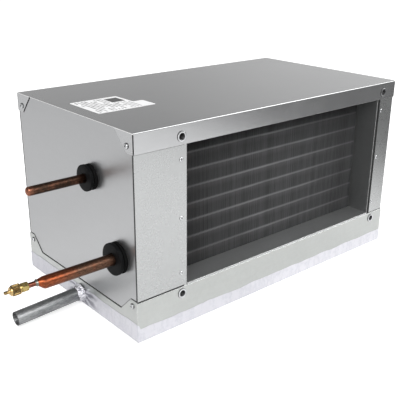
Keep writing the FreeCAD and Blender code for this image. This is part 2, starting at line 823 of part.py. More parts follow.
def make_suction_pipe():
    """Pipe from the header to the outside, with an end crimped off-centre on the valve stub."""
    end = FreeCAD.Vector(number("suction_end"), number("suction_place"), number("suction_level"))
    tip = FreeCAD.Vector(number("crimp_end"), number("suction_place"), number("valve_level"))
    inner_radius = number("suction_radius") * math.cos(math.pi / CRIMP_SIDES)
    wide = ring(X, end, inner_radius, CRIMP_SIDES)
    narrow = ring(X, tip, number("taper_radius"), CRIMP_SIDES)
    faces = [flat_face(wide), flat_face(narrow)]
    for step in range(CRIMP_SIDES):
        following = (step + 1) % CRIMP_SIDES
        faces.append(flat_face([wide[step], wide[following], narrow[following], narrow[step]]))
    pipe = Part.makeCylinder(number("suction_radius"), number("header_entry - suction_end"), end, X)
    return solid_feature("suction_pipe", [pipe.fuse(closed_solid(faces))])


def make_liquid_pipe():
    """Closed pipe whose free end, up to the grommet, is sized for the fitting that goes over it."""
    sized = "liquid_reach + gauge - grommet_lip - end_margin"
    return turned("liquid_pipe", ("liquid_end", "liquid_place", "liquid_level"), [
        ("0", "0"),
        ("0", "liquid_radius - end_chamfer"),
        ("end_chamfer", "liquid_radius"),
        (sized, "liquid_radius"),
        (sized, "liquid_seat"),
        ("distributor_inlet - liquid_end", "liquid_seat"),
        ("distributor_inlet - liquid_end", "0"),
    ])


def make_grommet(line):
    """A rubber ring snapped into the cover: an outer lip, a neck and a back lip."""
    radius = f"{line}_grommet_radius"
    bore = f"{line}_seat + rubber_clearance"
    neck = f"{radius} - grommet_margin - rubber_clearance"
    body = turned(f"{line}_grommet", ("cover_face", f"{line}_place", f"{line}_level"), [
        ("-grommet_lip", bore),
        ("-grommet_lip", radius),
        ("0", radius),
        ("0", bore),
    ])
    neck_outline = regular_outline(f"({neck}) * cos(180 deg / {NECK_SIDES})", NECK_SIDES)
    back_outline = regular_outline(f"{radius} - grommet_margin / 2", NECK_SIDES)
    ring_pad(body, "0", "gauge", neck_outline, bore)
    ring_pad(body, "gauge", "grommet_back", back_outline, bore)
    return body


def make_valve_stub():
    return turned("valve_stub", ("hex_start", "suction_place", "valve_level"), [
        ("0", "0"),
        ("0", "stub_radius"),
        ("stub_length", "stub_radius"),
        ("stub_length", "0"),
    ])


def make_valve_body():
    """Hexagon and threaded spigot with the bore of the core pin."""
    body = turned("valve_body", ("hex_start", "suction_place", "valve_level"), [
        ("-valve_hex_length * 0.8", "pin_radius + thread_clearance"),
        ("-valve_hex_length * 0.8", "spigot_radius"),
        ("-valve_hex_length - spigot_length", "spigot_radius"),
        ("-valve_hex_length - spigot_length", "core_recess_radius"),
        ("-valve_hex_length - spigot_length + core_recess", "core_recess_radius"),
        ("-valve_hex_length - spigot_length + core_recess", "pin_radius + thread_clearance"),
    ])
    hexagon = regular_outline("valve_flats / 2", 6)
    ring_pad(body, "-valve_hex_length", "valve_hex_length", hexagon, "pin_radius + thread_clearance")
    return body


def make_core_pin():
    return turned("core_pin", ("spigot_end - pin_stand", "suction_place", "valve_level"), [
        ("0", "0"),
        ("0", "pin_radius"),
        ("pin_length", "pin_radius"),
        ("pin_length", "0"),
    ])


def make_cap_gasket():
    return turned("cap_gasket", ("spigot_end - gasket_gap", "suction_place", "valve_level"), [
        ("-gasket_thickness", "gasket_hole"),
        ("-gasket_thickness", "spigot_radius - gasket_gap"),
        ("0", "spigot_radius - gasket_gap"),
        ("0", "gasket_hole"),
    ])


def make_valve_cap():
    """Cap with a core key on its end."""
    return turned("valve_cap", ("cap_rim", "suction_place", "valve_level"), [
        ("0", "spigot_radius + thread_clearance"),
        ("0", "cap_radius"),
        ("-cap_length", "cap_radius"),
        ("-cap_length", "key_radius"),
        ("-cap_length - key_length", "key_radius"),
        ("-cap_length - key_length", "0"),
        ("cap_seat - cap_rim", "0"),
        ("cap_seat - cap_rim", "spigot_radius + thread_clearance"),
    ])


# Droplet eliminator

def box_between(low, high):
    return Part.makeBox(high.x - low.x, high.y - low.y, high.z - low.z, low)


def make_eliminator_plates():
    """Two upright plates that close the blades' frame at its sides."""
    wall = number("eliminator_sheet")
    plates = []
    for start in (-number("eliminator_side"), number("eliminator_side") - wall):
        low = FreeCAD.Vector(start, number("eliminator_front"), number("eliminator_base"))
        high = FreeCAD.Vector(start + wall, number("eliminator_rear"), number("eliminator_top"))
        plates.append(box_between(low, high))
    return solid_feature("eliminator_side_plates", plates)


def make_eliminator_rails():
    """Four flat rails that hold the blades' ends, two below and two above."""
    wall = number("eliminator_sheet")
    side = number("eliminator_side") - wall
    rails = []
    for level in (number("eliminator_base"), number("eliminator_top") - wall):
        for start in (number("eliminator_front"), number("eliminator_rear - rail_width")):
            low = FreeCAD.Vector(-side, start, level)
            high = FreeCAD.Vector(side, start + number("rail_width"), level + wall)
            rails.append(box_between(low, high))
    return solid_feature("eliminator_rails", rails)


def make_eliminator_blades():
    """Zigzag blades that stand in the frame."""
    pitch = number("blade_pitch")
    wall = number("blade_thickness")
    wave = number("blade_wave")
    depth = number("eliminator_depth")
    base = number("eliminator_base + eliminator_sheet")
    height = number("eliminator_top - eliminator_sheet") - base
    front = number("eliminator_front")
    run = [(0, 0.0), (1, 0.25), (0, 0.5), (1, 0.75), (0, 1.0)]
    left = [(wave * (side - 0.5) - wall / 2, depth * share) for side, share in run]
    right = [(wave * (side - 0.5) + wall / 2, depth * share) for side, share in reversed(run)]
    count = int(number("duct_width") / pitch) - 1
    blades = []
    for index in range(count):
        middle = (index - (count - 1) / 2) * pitch
        corners = []
        for across, along in left + right:
            corners.append(FreeCAD.Vector(middle + across, front + along, base))
        blades.append(flat_face(corners).extrude(Z * height))
    return solid_feature("eliminator_blades", blades)


# Fasteners and label

FLANGE_SIDES = 12


def flat_sided(place, axis, radius, length, sides):
    """A prism of flats from a place along an axis."""
    return flat_face(ring(axis, place, radius, sides)).extrude(axis * length)


def fastener(place, axis, head_radius, rise, shank_radius, grip):
    """A head that stands on the sheet at place, with its shank along the axis behind it."""
    sides = int(number("head_sides"))
    head = flat_sided(place - axis * rise, axis, head_radius, rise, sides)
    shank = flat_sided(place, axis, shank_radius, grip, sides // 2)
    return head.fuse(shank)


def make_rivet_nuts(node, end):
    """Four M8 rivet nuts with hexagonal bodies in the duct flange. end is -1 inlet or 1 outlet."""
    inward = Y * -end
    nuts = []
    for side in (-1, 1):
        for level in ("bolt_low", "bolt_high"):
            seat = FreeCAD.Vector(side * number("bolt_side"), end * number("half_depth"), number(level))
            outer = seat - inward * number("nut_flange_rise")
            flange = flat_sided(
                outer, inward, number("nut_flange_radius"), number("nut_flange_rise"), FLANGE_SIDES,
            )
            barrel = flat_sided(seat, inward, number("nut_flats / 2"), number("nut_length"), 6)
            length = number("nut_flange_rise + nut_length")
            bore = Part.makeCylinder(number("bolt_bore"), length, outer, inward)
            nuts.append(flange.fuse(barrel).cut(bore))
    return solid_feature(node, nuts)


def make_rivets(node, end):
    """Three blind rivets on each side of the duct mouth."""
    rivets = []
    for side in (-1, 1):
        for step in (-1, 0, 1):
            place = FreeCAD.Vector(
                side * number("bolt_side"),
                end * number("panel_face"),
                number("duct_middle") + step * number("rivet_pitch"),
            )
            rivets.append(fastener(
                place, Y * -end, number("rivet_radius"), number("rivet_rise"),
                number("rivet_shank"), number("rivet_grip"),
            ))
    return solid_feature(node, rivets)


def make_cover_screws(node, side):
    """Four screws through the corner tabs into the side cover."""
    face = number("left_face") if side < 0 else number("right_face")
    screws = []
    for end in (-1, 1):
        for tab in ("lid", "tray"):
            across = end * number(f"half_depth - {tab}_screw_inset")
            place = FreeCAD.Vector(face, across, number(f"{tab}_screw_level"))
            screws.append(fastener(
                place, X * -side, number("screw_radius"), number("screw_rise"),
                number("screw_shank"), number("screw_grip"),
            ))
    return solid_feature(node, screws)


def make_rating_label():
    """A blank sticker on the lid with a narrow tail."""
    body = new_body("rating_label")
    right = "label_left + label_length"
    front = "label_place - label_depth / 2"
    outline = [
        ("label_left", front),
        (f"{right} + label_tail", front),
        (f"{right} + label_tail", f"{front} + label_tail_depth"),
        (right, f"{front} + label_tail_depth"),
        (right, f"{front} + label_depth"),
        ("label_left", f"{front} + label_depth"),
    ]
    pad(body, "XY_Plane", "roof", "label_gauge", [outline])
    return body


nodes = [
    make_top_cover(),
    make_drip_tray(),
    make_side_cover("connection_side_cover", -1),
    make_side_cover("blind_side_cover", 1),
    make_panel("front_left_panel", -1, -1),
    make_panel("front_right_panel", 1, -1),
    make_panel("rear_left_panel", -1, 1),
    make_panel("rear_right_panel", 1, 1),
    make_tube_sheet("left_tube_sheet", -1),
    make_tube_sheet("right_tube_sheet", 1),
    make_floor_plate("front_floor_plate", -1, "fin_front - seat_gap"),
    make_middle_floor(),
    make_floor_plate("rear_floor_plate", 1, "eliminator_rear - rail_width"),
    make_ceiling(),
    make_tray_insulation(),
    make_foil_wrap(),
    make_drain_pipe(),
    make_drain_collar(),
    make_fin_pack(),
    make_hairpins(),
    make_return_bends(),
    make_header_stubs(),
    make_suction_header(),
    make_distributor(),
    make_capillaries(),
    make_suction_pipe(),
    make_liquid_pipe(),
    make_grommet("suction"),
    make_grommet("liquid"),
    make_valve_stub(),
    make_valve_body(),
    make_core_pin(),
    make_cap_gasket(),
    make_valve_cap(),
    make_eliminator_plates(),
    make_eliminator_rails(),
    make_eliminator_blades(),
    make_rivet_nuts("front_rivet_nuts", -1),
    make_rivet_nuts("rear_rivet_nuts", 1),
    make_rivets("front_rivets", -1),
    make_rivets("rear_rivets", 1),
    make_cover_screws("connection_side_screws", -1),
    make_cover_screws("blind_side_screws", 1),
    make_rating_label(),
]

doc.recompute()

faults = [item.Label for item in doc.Objects if {"Invalid", "Error"} & set(item.State)]
faults += [node.Label for node in nodes if node.Shape.isNull() or not node.Shape.isValid()]
if faults:
    raise RuntimeError("failed: " + ", ".join(faults))

os.makedirs("parts", exist_ok=True)
for node in nodes:
    node.Shape.exportStep(f"parts/{node.Label}.step")
    print(node.Label, len(node.Shape.Solids), round(node.Shape.Volume, 2))
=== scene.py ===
import bmesh
import bpy
import math
from mathutils import Matrix, Vector, noise


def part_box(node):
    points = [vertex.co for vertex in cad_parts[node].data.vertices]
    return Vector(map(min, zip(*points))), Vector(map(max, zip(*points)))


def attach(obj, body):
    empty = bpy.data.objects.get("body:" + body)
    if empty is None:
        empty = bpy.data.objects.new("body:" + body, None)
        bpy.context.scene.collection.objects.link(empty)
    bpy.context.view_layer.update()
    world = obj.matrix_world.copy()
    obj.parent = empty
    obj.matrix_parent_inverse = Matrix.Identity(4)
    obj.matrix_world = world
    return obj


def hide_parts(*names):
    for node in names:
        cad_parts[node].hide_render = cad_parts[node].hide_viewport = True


# A duct cooling coil in a galvanised casing. Metres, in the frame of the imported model.

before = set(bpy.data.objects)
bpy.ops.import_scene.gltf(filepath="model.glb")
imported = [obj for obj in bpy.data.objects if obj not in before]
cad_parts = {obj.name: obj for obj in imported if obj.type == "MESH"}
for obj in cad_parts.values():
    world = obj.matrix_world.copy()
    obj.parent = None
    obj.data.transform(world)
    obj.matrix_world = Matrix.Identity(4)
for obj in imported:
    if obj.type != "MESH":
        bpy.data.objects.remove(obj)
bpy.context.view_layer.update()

MM = 0.001
CASING = "casing"

# Sheets

SHEET_GAUGE = 1.0 * MM
LEFT, RIGHT, HALF_DEPTH = -0.284, 0.240, 0.148
PANEL_EDGE, PANEL_FACE = 0.2015, HALF_DEPTH - SHEET_GAUGE
COVER_CORNER = PANEL_FACE - SHEET_GAUGE
LID_UNDER, LID_EDGE, TRAY_EDGE, TRAY_SIDE, TAB_TOP = 0.284, 0.258, 0.0585, 0.0365, 0.060
TAB_START, TAB_TIP, TAB_ROOT = 0.1466, 0.013, 0.037
BROKEN_EDGE = 0.22 * MM
TOUCH = 0.3 * MM

# Pipes and valve

SUCTION_Y, SUCTION_Z, VALVE_Z = -0.1075, 0.1103, 0.1128
SUCTION_START, SUCTION_RADIUS, HEADER_RADIUS = -0.24975, 0.008, 0.0095
CRIMP_START, CRIMP_END, CRIMP_LENGTH, CRIMP_NECK, CRIMP_RISE = -0.3900, -0.4015, 0.0110, 0.0039, 0.0025
HEX_START, CAP_RIM, SEAL_FACE, PIN_FOOT = -0.4121, -0.4221, -0.4307, -0.4213
LIQUID_Y, LIQUID_Z, LIQUID_START = -0.0485, 0.2055, -0.262
DISTRIBUTOR_START, CAPILLARY_CIRCLE, CAPILLARY_STAGGER = -0.246, 0.0044, 0.0038
GROMMET_SEAT = LEFT + SHEET_GAUGE
DRAIN_ROOT, DRAIN_FALL = Vector((LEFT, -0.006, 0.0165)), math.radians(2.9)

# Fasteners

BOLT_X, BOLT_LEVELS, RIVET_LEVELS = 0.210, (0.049, 0.269), (0.0795, 0.159, 0.2385)
SCREW_PLACES = ((0.135, 0.267), (0.1365, 0.051))

# Coil and droplet eliminator

FIRST_LEVEL, TUBE_PITCH, LEVELS, ROWS = 0.0715, 0.025, 8, (-0.096, -0.074, -0.052)
TUBE_END, TUBE_RADIUS, CAPILLARY_RADIUS = 0.206, 0.0048, 0.0016
RETURN_BEND, STUB_BEND, CAPILLARY_BEND = 0.011, 0.006, 0.0035
FIN_COUNT, FIN_PITCH, FIN_GAUGE, FIN_RIPPLE, RIPPLE_LENGTH = 160, 0.0025, 0.0002, 0.00035, 0.011
HIGHLIGHT_LINE_RISE = 0.0088
BLADE_COUNT, BLADE_PITCH, BLADE_GAUGE, BLADE_THROW = 15, 0.025, 0.0012, 0.011

# Foil, label and floor

FOIL_GAP, FOIL_STEP, FOIL_FOOT = 0.3 * MM, 1.5 * MM, 0.9 * MM
LABEL_CORNER = 2.5 * MM
FLOOR_REACH, FLOOR_DROP = 8.0, 0.4 * MM

# Sizes of turned pieces, in millimetres as their profiles

LIQUID_LENGTH, LIQUID_RADIUS, HEX_FLATS, THREAD_PITCH, CAP_RIBS = 114.0, 6.0, 11.0, 1.27, 22
DRAIN_LENGTH, DRAIN_RADIUS, DRAIN_BORE = 104.0, 10.0, 8.5

# The photograph's camera, with its angles in degrees

CAMERA_PLACE = Vector((-710.07, -768.33, 490.955)) * MM
CAMERA_ANGLES = (-40.5417, 21.0431, 0.4386)
FOCAL_PIXELS, PICTURE_WIDTH, SENSOR_WIDTH = 664.89, 400, 36.0


# Node building

class Value:
    """What a socket gives. Plain arithmetic on it adds the maths nodes."""

    def __init__(self, net, socket):
        self.net, self.socket = net, socket

    def __add__(self, other):
        return self.net.maths("ADD", self, other)

    def __sub__(self, other):
        return self.net.maths("SUBTRACT", self, other)

    def __mul__(self, other):
        return self.net.maths("MULTIPLY", self, other)

    def __truediv__(self, other):
        return self.net.maths("DIVIDE", self, other)

    def held(self):
        """The value kept from 0 to 1."""
        return self.net.maths("ADD", self, 0.0, clamp=True)

    def between(self, start, stop):
        """1 between two values, 0 elsewhere."""
        return self.net.maths("GREATER_THAN", self, start) * self.net.maths("LESS_THAN", self, stop)

    def spread(self, low, high, to_low=0.0, to_high=1.0, easing="LINEAR"):
        """The value brought from one range to another, held at the ends."""
        feeds = {"Value": self, "From Min": low, "From Max": high, "To Min": to_low, "To Max": to_high}
        return self.net.out("ShaderNodeMapRange", feeds, interpolation_type=easing)


class Net:
    """Short calls that add nodes to one tree and join them."""

    def __init__(self, tree):
        self.tree = tree

    def add(self, kind, feeds=None, **settings):
        node = self.tree.nodes.new(kind)
        for name, value in settings.items():
            setattr(node, name, value)
        for key, value in (feeds or {}).items():
            self.feed(node.inputs[key], value)
        return node

    def out(self, kind, feeds=None, output=0, **settings):
        return Value(self, self.add(kind, feeds, **settings).outputs[output])

    def feed(self, socket, value):
        """Joins a value to a socket, or sets a plain one. A colour is given as red, green and blue."""
        if isinstance(value, Value):
            self.tree.links.new(value.socket, socket)
        else:
            socket.default_value = (*value, 1.0) if socket.type == "RGBA" else value

    def named(self, sockets):
        return {socket.name: Value(self, socket) for socket in sockets}

    def maths(self, operation, first, second=0.0, clamp=False):
        return self.out("ShaderNodeMath", {0: first, 1: second}, operation=operation, use_clamp=clamp)

    def vectors(self, operation, first, second):
        return self.out("ShaderNodeVectorMath", {0: first, 1: second}, operation=operation)

    def vector(self, x=0.0, y=0.0, z=0.0):
        return self.out("ShaderNodeCombineXYZ", {0: x, 1: y, 2: z})

    def parts(self, vector):
        return [Value(self, socket) for socket in self.add("ShaderNodeSeparateXYZ", {0: vector}).outputs]

    def grey(self, value):
        return self.out("ShaderNodeCombineColor", {0: value, 1: value, 2: value})

    def blend(self, amount, first, second, mode="MIX"):
        """A colour mixed from two."""
        feeds = {0: amount, 6: first, 7: second}
        return self.out("ShaderNodeMix", feeds, 2, data_type="RGBA", blend_type=mode)

    def own(self, stretch=None):
        """The piece's own coordinates, stretched or as they are."""
        place = self.out("ShaderNodeTexCoord", output="Object")
        return self.out("ShaderNodeMapping", {"Vector": place, "Scale": stretch}) if stretch else place

    def clouds(self, scale, detail=3.0, rough=0.5, stretch=None, where=None):
        """Noise over the piece's own coordinates or over given ones."""
        feeds = {"Vector": where or self.own(stretch), "Scale": scale, "Detail": detail, "Roughness": rough}
        return self.out("ShaderNodeTexNoise", feeds, "Fac")

    def mark(self, name):
        """What the mesh code wrote on the faces under a name."""
        return self.out("ShaderNodeAttribute", output="Fac", attribute_name=name)

    def bump(self, height, strength, distance):
        return self.out("ShaderNodeBump", {"Height": height, "Strength": strength, "Distance": distance})

    def group(self, tree, **feeds):
        node = self.add("ShaderNodeGroup", node_tree=tree)
        for name, value in feeds.items():
            self.feed(node.inputs[name.capitalize()], value)
        return self.named(node.outputs)


FLOAT, COLOR, VECTOR, GEOMETRY, INTEGER, MATERIAL, OBJECT = (
    "NodeSocket" + kind for kind in ("Float", "Color", "Vector", "Geometry", "Int", "Material", "Object"))


def new_tree(kind, name, inputs, outputs):
    """An empty node group with its sockets: its net, the values it is given and the sockets it fills."""
    tree = bpy.data.node_groups.new(name, kind)
    for way, sockets in (("INPUT", inputs), ("OUTPUT", outputs)):
        for label, socket_type, *value in sockets:
            socket = tree.interface.new_socket(name=label, in_out=way, socket_type=socket_type)
            if value:
                socket.default_value = value[0]
    net = Net(tree)
    return net, net.named(net.add("NodeGroupInput").outputs), net.add("NodeGroupOutput").inputs


# Effects that several materials share

def effect(name, inputs, outputs):
    return new_tree("ShaderNodeTree", name, inputs, outputs)


def zinc_spangle():
    """Flakes of hot-dip zinc with rolling streaks and wiped patches."""
    net, given, result = effect("zinc_spangle", [
        ("Flake", FLOAT, 260.0),
        ("Contrast", FLOAT, 1.0),
        ("Shift", FLOAT, 0.0),
        ("Rolling", VECTOR, (0.08, 1.0, 1.0)),
    ], [("Tone", FLOAT), ("Roughness", FLOAT)])
    place = net.vectors("ADD", net.own(), given["Shift"])
    warp = net.out("ShaderNodeTexNoise", {"Vector": place, "Scale": 180.0, "Detail": 2.0}, "Color")
    bend = net.out("ShaderNodeVectorMath", {0: warp, 3: 0.004}, operation="SCALE")
    cells = {"Vector": net.vectors("ADD", place, bend), "Scale": given["Flake"]}
    flake = net.out("ShaderNodeSeparateColor", {0: net.out("ShaderNodeTexVoronoi", cells, "Color")})
    fine = net.clouds(420.0, 4.0, 0.7, where=place)
    patches = net.clouds(14.0, 4.0, 0.55, where=place)
    streaks = net.clouds(260.0, 3.0, 0.6, where=net.vectors("MULTIPLY", place, given["Rolling"]))
    tone = flake * 0.16 + patches * 0.5 + fine * 0.32 + streaks * 0.35 - 0.66
    net.feed(result["Tone"], tone * given["Contrast"])
    net.feed(result["Roughness"], flake * 0.03 + patches * 0.08 - 0.055)
    return net.tree


def edge_wear():
    """A broken-up mask of the faces that were marked as edges, for wear and painted highlight."""
    inputs = [("Amount", FLOAT, 1.0), ("Grain", FLOAT, 400.0)]
    net, given, result = effect("edge_wear", inputs, [("Mask", FLOAT)])
    broken = net.clouds(given["Grain"]).spread(0.30, 0.55, 0.55, 1.0)
    net.feed(result["Mask"], (net.mark("edge") * broken * given["Amount"]).held())
    return net.tree


def joint_shade():
    """Paints shade: darkens and dulls the faces that were marked as lying in a joint or a recess."""
    net, given, result = effect("joint_shade", [
        ("Tone", COLOR, (0.8, 0.8, 0.8, 1.0)),
        ("Roughness", FLOAT, 0.3),
    ], [("Tone", COLOR), ("Roughness", FLOAT)])
    mark = net.mark("shade")
    net.feed(result["Tone"], net.blend(mark, given["Tone"], (0.004, 0.004, 0.004)))
    net.feed(result["Roughness"], (mark * 0.3 + given["Roughness"]).held())
    return net.tree


def drawn_lines():
    """Fine lines along X, as on drawn tube, with a blotchy second mask."""
    net, given, result = effect("drawn_lines", [
        ("Density", FLOAT, 900.0),
        ("Blotch", FLOAT, 45.0),
    ], [("Lines", FLOAT), ("Blotches", FLOAT)])
    net.feed(result["Lines"], net.clouds(given["Density"], 2.0, stretch=(0.02, 1, 1)))
    net.feed(result["Blotches"], net.clouds(given["Blotch"], 5.0, 0.6).spread(0.38, 0.64))
    return net.tree


def dust():
    """A thin uneven film, thicker low down."""
    net, given, result = effect("dust", [("Amount", FLOAT, 0.3), ("Level", FLOAT, 0.05)], [("Mask", FLOAT)])
    low = net.parts(net.own())[2].spread(given["Level"], given["Level"] * 6.0, 1.0, 0.25)
    film = net.clouds(60.0, 5.0, 0.65).spread(0.42, 0.75)
    net.feed(result["Mask"], (low * film * given["Amount"]).held())
    return net.tree


SPANGLE, WEAR_AND_HIGHLIGHT, SHADE, DRAWN, DUST = zinc_spangle(), edge_wear(), joint_shade(), drawn_lines(), dust()


# Materials

def finish(name, **fixed):
    """A new material's net, and a call that feeds its shader's sockets and gives the material back."""
    material = bpy.data.materials.new(name)
    material.use_nodes = True
    net = Net(material.node_tree)
    shader = net.tree.nodes["Principled BSDF"].inputs

    def surface(**feeds):
        for label, value in feeds.items():
            net.feed(shader[label.replace("_", " ")], value)
        return material

    surface(**fixed)
    return net, surface


def shaded(net, tone, rough):
    """The shader's colour and roughness, with painted shade darkening and dulling the marked joints and recesses.
    """
    made = net.group(SHADE, tone=tone, roughness=rough)
    return {"Base_Color": made["Tone"], "Roughness": made["Roughness"]}


def scaled(tone, share):
    return tuple(part * share for part in tone)


def galvanised(name, base, rough, contrast=1.0, shift=0.0, rolling=(0.08, 1, 1), metallic=0.96):
    """Zinc-coated sheet with bright broken edges, partly wear and partly painted highlight, painted shade in its
    marked joints, and a little dust.
    """
    net, surface = finish(name)
    zinc = net.group(SPANGLE, contrast=contrast, shift=shift, rolling=rolling)
    wear_and_highlight = net.group(WEAR_AND_HIGHLIGHT, amount=0.95)["Mask"]
    film = net.group(DUST, amount=0.08)["Mask"]
    tone = net.blend(zinc["Tone"] * 0.5 + 0.5, scaled(base, 0.78), scaled(base, 1.22))
    # Marked edges lightened: wear, and painted highlight.
    tone = net.blend(wear_and_highlight, tone, (0.92, 0.92, 0.911))
    tone = net.blend(film, tone, (0.42, 0.41, 0.39))
    wiped = wear_and_highlight * -0.08 + (zinc["Roughness"] + rough)
    return surface(**shaded(net, tone, wiped), Metallic=film * -0.5 + metallic)


def coated_fins():
    """Dark grey fins, their darkness partly painted shade from the narrow gaps between them, with a painted
    highlight line above each row of tubes that fades toward the right, a painted shadow under the lid and darker
    sides.
    """
    net, surface = finish("coated_fins")
    across, _, up = net.parts(net.own())
    uneven = net.clouds(14.0, 3.0, 0.6, (1, 1, 4))
    rise = (uneven * 0.0016 + up - (FIRST_LEVEL + HIGHLIGHT_LINE_RISE)) / TUBE_PITCH
    wave = net.maths("COSINE", rise * math.tau) * 0.5 + 0.5
    glow = net.maths("FRACT", rise).spread(0.60, 0.98, 0.0, 0.22)
    # Painted highlight: a bright line above each row of tubes, stronger toward the left.
    band = net.maths("MAXIMUM", net.maths("POWER", wave, 26.0), glow)
    band = band * across.spread(-0.02, 0.17, 1.0, 0.45) * uneven.spread(0.3, 0.6, 0.6, 1.0)
    fin = net.maths("ROUND", across / FIN_PITCH)
    chance = net.out("ShaderNodeTexWhiteNoise", {"W": fin}, "Value", noise_dimensions="1D")
    soot = net.clouds(150.0, 4.0, 0.6, (1, 1, 0.12))
    shade = (chance * 0.45 + soot * 0.75).held()
    # Dark grey, partly painted shade from the narrow gaps between the fins, varied at random per fin and in
    # streaks.
    tone = net.blend(shade, (0.075, 0.076, 0.078), (0.24, 0.243, 0.247))
    lined = net.blend(band, tone, (0.62, 0.63, 0.64))
    # Painted shadow under the lid's flange, and darker toward both sides.
    sides = net.maths("ABSOLUTE", across - 0.02).spread(0.06, 0.20, 1.0, 0.66)
    below_lid = up.spread(0.226, 0.250, 1.0, 0.30) * sides
    return surface(
        Base_Color=net.blend(below_lid, (0.012, 0.012, 0.012), lined),
        Roughness=soot * 0.25 + 0.38,
        Metallic=band * 0.3 + 0.25,
        Normal=net.bump(net.clouds(700.0, 2.0), 0.15, 0.0002),
    )


def copper(name, bright, dark, start, end, patina):
    """Drawn copper with a brown patina that thickens from one place along X to another."""
    net, surface = finish(name, Metallic=1.0)
    drawn = net.group(DRAWN)
    along = net.parts(net.own())[0]
    stain = (drawn["Blotches"] * 0.40 + along.spread(start, end) * patina).held()
    speckle = net.clouds(700.0, 3.0, 0.7, (0.4, 1, 1))
    streak = (speckle * 0.9 + drawn["Lines"] * 0.4).spread(0.5, 0.8, 0.58, 1.37)
    tone = net.blend(1.0, net.blend(stain, bright, dark), net.grey(streak), "MULTIPLY")
    return surface(Base_Color=tone, Roughness=stain * 0.16 + 0.24, Normal=net.bump(speckle, 0.15, 0.0002))


def turned_metal(name, light, dark, rough, grain=500.0):
    """Turned or plated metal with fine grain and random stains, marked edges lightened to a painted glint, and
    painted shade in its marked recesses.
    """
    net, surface = finish(name, Metallic=1.0)
    grains = net.clouds(grain)
    stain = net.clouds(140.0, 4.0, 0.6).spread(0.45, 0.75, 0.0, 0.8)
    wear_and_highlight = net.group(WEAR_AND_HIGHLIGHT, amount=0.8)["Mask"]
    glint = tuple(min(1.0, part) for part in scaled(light, 1.15))
    tone = net.blend(wear_and_highlight, net.blend(stain, light, dark), glint)
    return surface(**shaded(net, tone, grains * 0.16 + (rough - 0.08)), Normal=net.bump(grains, 0.10, 0.0002))


def weathered_pipe():
    """Zinc-coated steel pipe with long dull streaks and bright rubbed patches."""
    net, surface = finish("weathered_pipe", Metallic=1.0)
    streaks = net.clouds(620.0, 4.0, 0.75, (0.22, 1, 1))
    patches = net.clouds(130.0, 5.0, 0.7, (0.4, 1, 1))
    rubbed = (streaks * patches).spread(0.14, 0.36)
    tone = net.blend(rubbed, (0.19, 0.195, 0.20), (0.40, 0.41, 0.415))
    rough = rubbed.spread(0.0, 1.0, 0.50, 0.36)
    return surface(**shaded(net, tone, rough), Normal=net.bump(streaks, 0.25, 0.0003))


def moulded_rubber(name, tone, rough):
    """Black rubber with a paler bloom in places."""
    net, surface = finish(name, Specular_IOR_Level=0.07)
    bloom = net.clouds(90.0, 5.0, 0.65).spread(0.50, 0.8, 0.0, 0.5)
    film = net.group(DUST, amount=0.02, level=0.3)["Mask"]
    pale = tuple(part * 2.0 + 0.005 for part in tone)
    dusty = net.blend(film, net.blend(bloom, tone, pale), (0.16, 0.155, 0.15))
    grain = net.clouds(1400.0, 2.0)
    return surface(**shaded(net, dusty, bloom * 0.25 + rough), Normal=net.bump(grain, 0.25, 0.0002))


def crumpled_foil():
    """Bright foil over foam: soft upright creases and finer rumpling, with painted shade on the faces that the
    mesh code marked.
    """
    net, surface = finish("foil")
    upright = net.clouds(70.0, 3.0, 0.55, (1, 1, 0.4))
    rumple = net.clouds(230.0, 4.0, 0.65)
    crease = net.mark("crease")
    ridge = net.maths("ABSOLUTE", upright - 0.5)
    tone = net.blend((rumple * 0.5 + ridge).spread(0.22, 0.36), (0.77, 0.77, 0.82), (0.86, 0.855, 0.90))
    return surface(
        Base_Color=net.blend(crease, tone, (0.30, 0.30, 0.34)),
        Metallic=crease * 0.4 + upright.spread(0.3, 0.7, 0.25, 0.45),
        Roughness=rumple.spread(0.3, 0.7, 0.28, 0.44),
        Normal=net.bump(rumple * 0.4 + ridge, 0.30, 0.0014),
    )


def film_label():
    """White film with a plain dark box and rows of plain grey bars, and no words. In millimetres."""
    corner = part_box("rating_label")[0]
    net, surface = finish("film_label", Specular_IOR_Level=0.15)
    x, y, _ = net.parts(net.own())
    across, along = (x - corner.x) * 1000.0, (y - corner.y) * 1000.0
    box = across.between(50.0, 71.0) * along.between(44.0, 68.0)
    round_box = across.between(47.0, 76.0) * along.between(41.0, 71.0)
    row = across / 5.0
    cell = net.vector(net.maths("FLOOR", row), net.maths("FLOOR", along / 9.0))
    chance = net.out("ShaderNodeTexWhiteNoise", {"Vector": cell}, "Value")
    bar = net.maths("LESS_THAN", net.maths("FRACT", row), 0.42) * along.between(4.0, 72.0)
    bar = bar * net.maths("GREATER_THAN", chance, 0.25)
    ink = bar * net.maths("SUBTRACT", 1.0, round_box) * chance.spread(0.25, 1.0, 0.50, 0.95)
    ink = ink * across.between(4.0, 74.0)
    paper = net.blend(net.clouds(25.0), (0.84, 0.84, 0.84), (0.93, 0.93, 0.93))
    return surface(
        Base_Color=net.blend(box * 0.94, net.blend(ink, paper, (0.10, 0.10, 0.10)), (0.05, 0.05, 0.05)),
        Roughness=net.clouds(80.0).spread(0.3, 0.7, 0.38, 0.52),
        Normal=net.bump(net.clouds(35.0, 2.0), 0.2, 0.0004),
    )


def extruded_plastic(name, tone):
    """Dark plastic with fine upright streaks and dust."""
    net, surface = finish(name)
    streak = net.clouds(500.0, stretch=(1, 1, 0.03))
    film = net.group(DUST, amount=0.5, level=0.1)["Mask"]
    base = net.blend(streak, scaled(tone, 0.8), scaled(tone, 1.25))
    return surface(
        Base_Color=net.blend(film, base, (0.30, 0.29, 0.27)),
        Roughness=streak * 0.2 + 0.32,
        Normal=net.bump(streak, 0.12, 0.0003),
    )


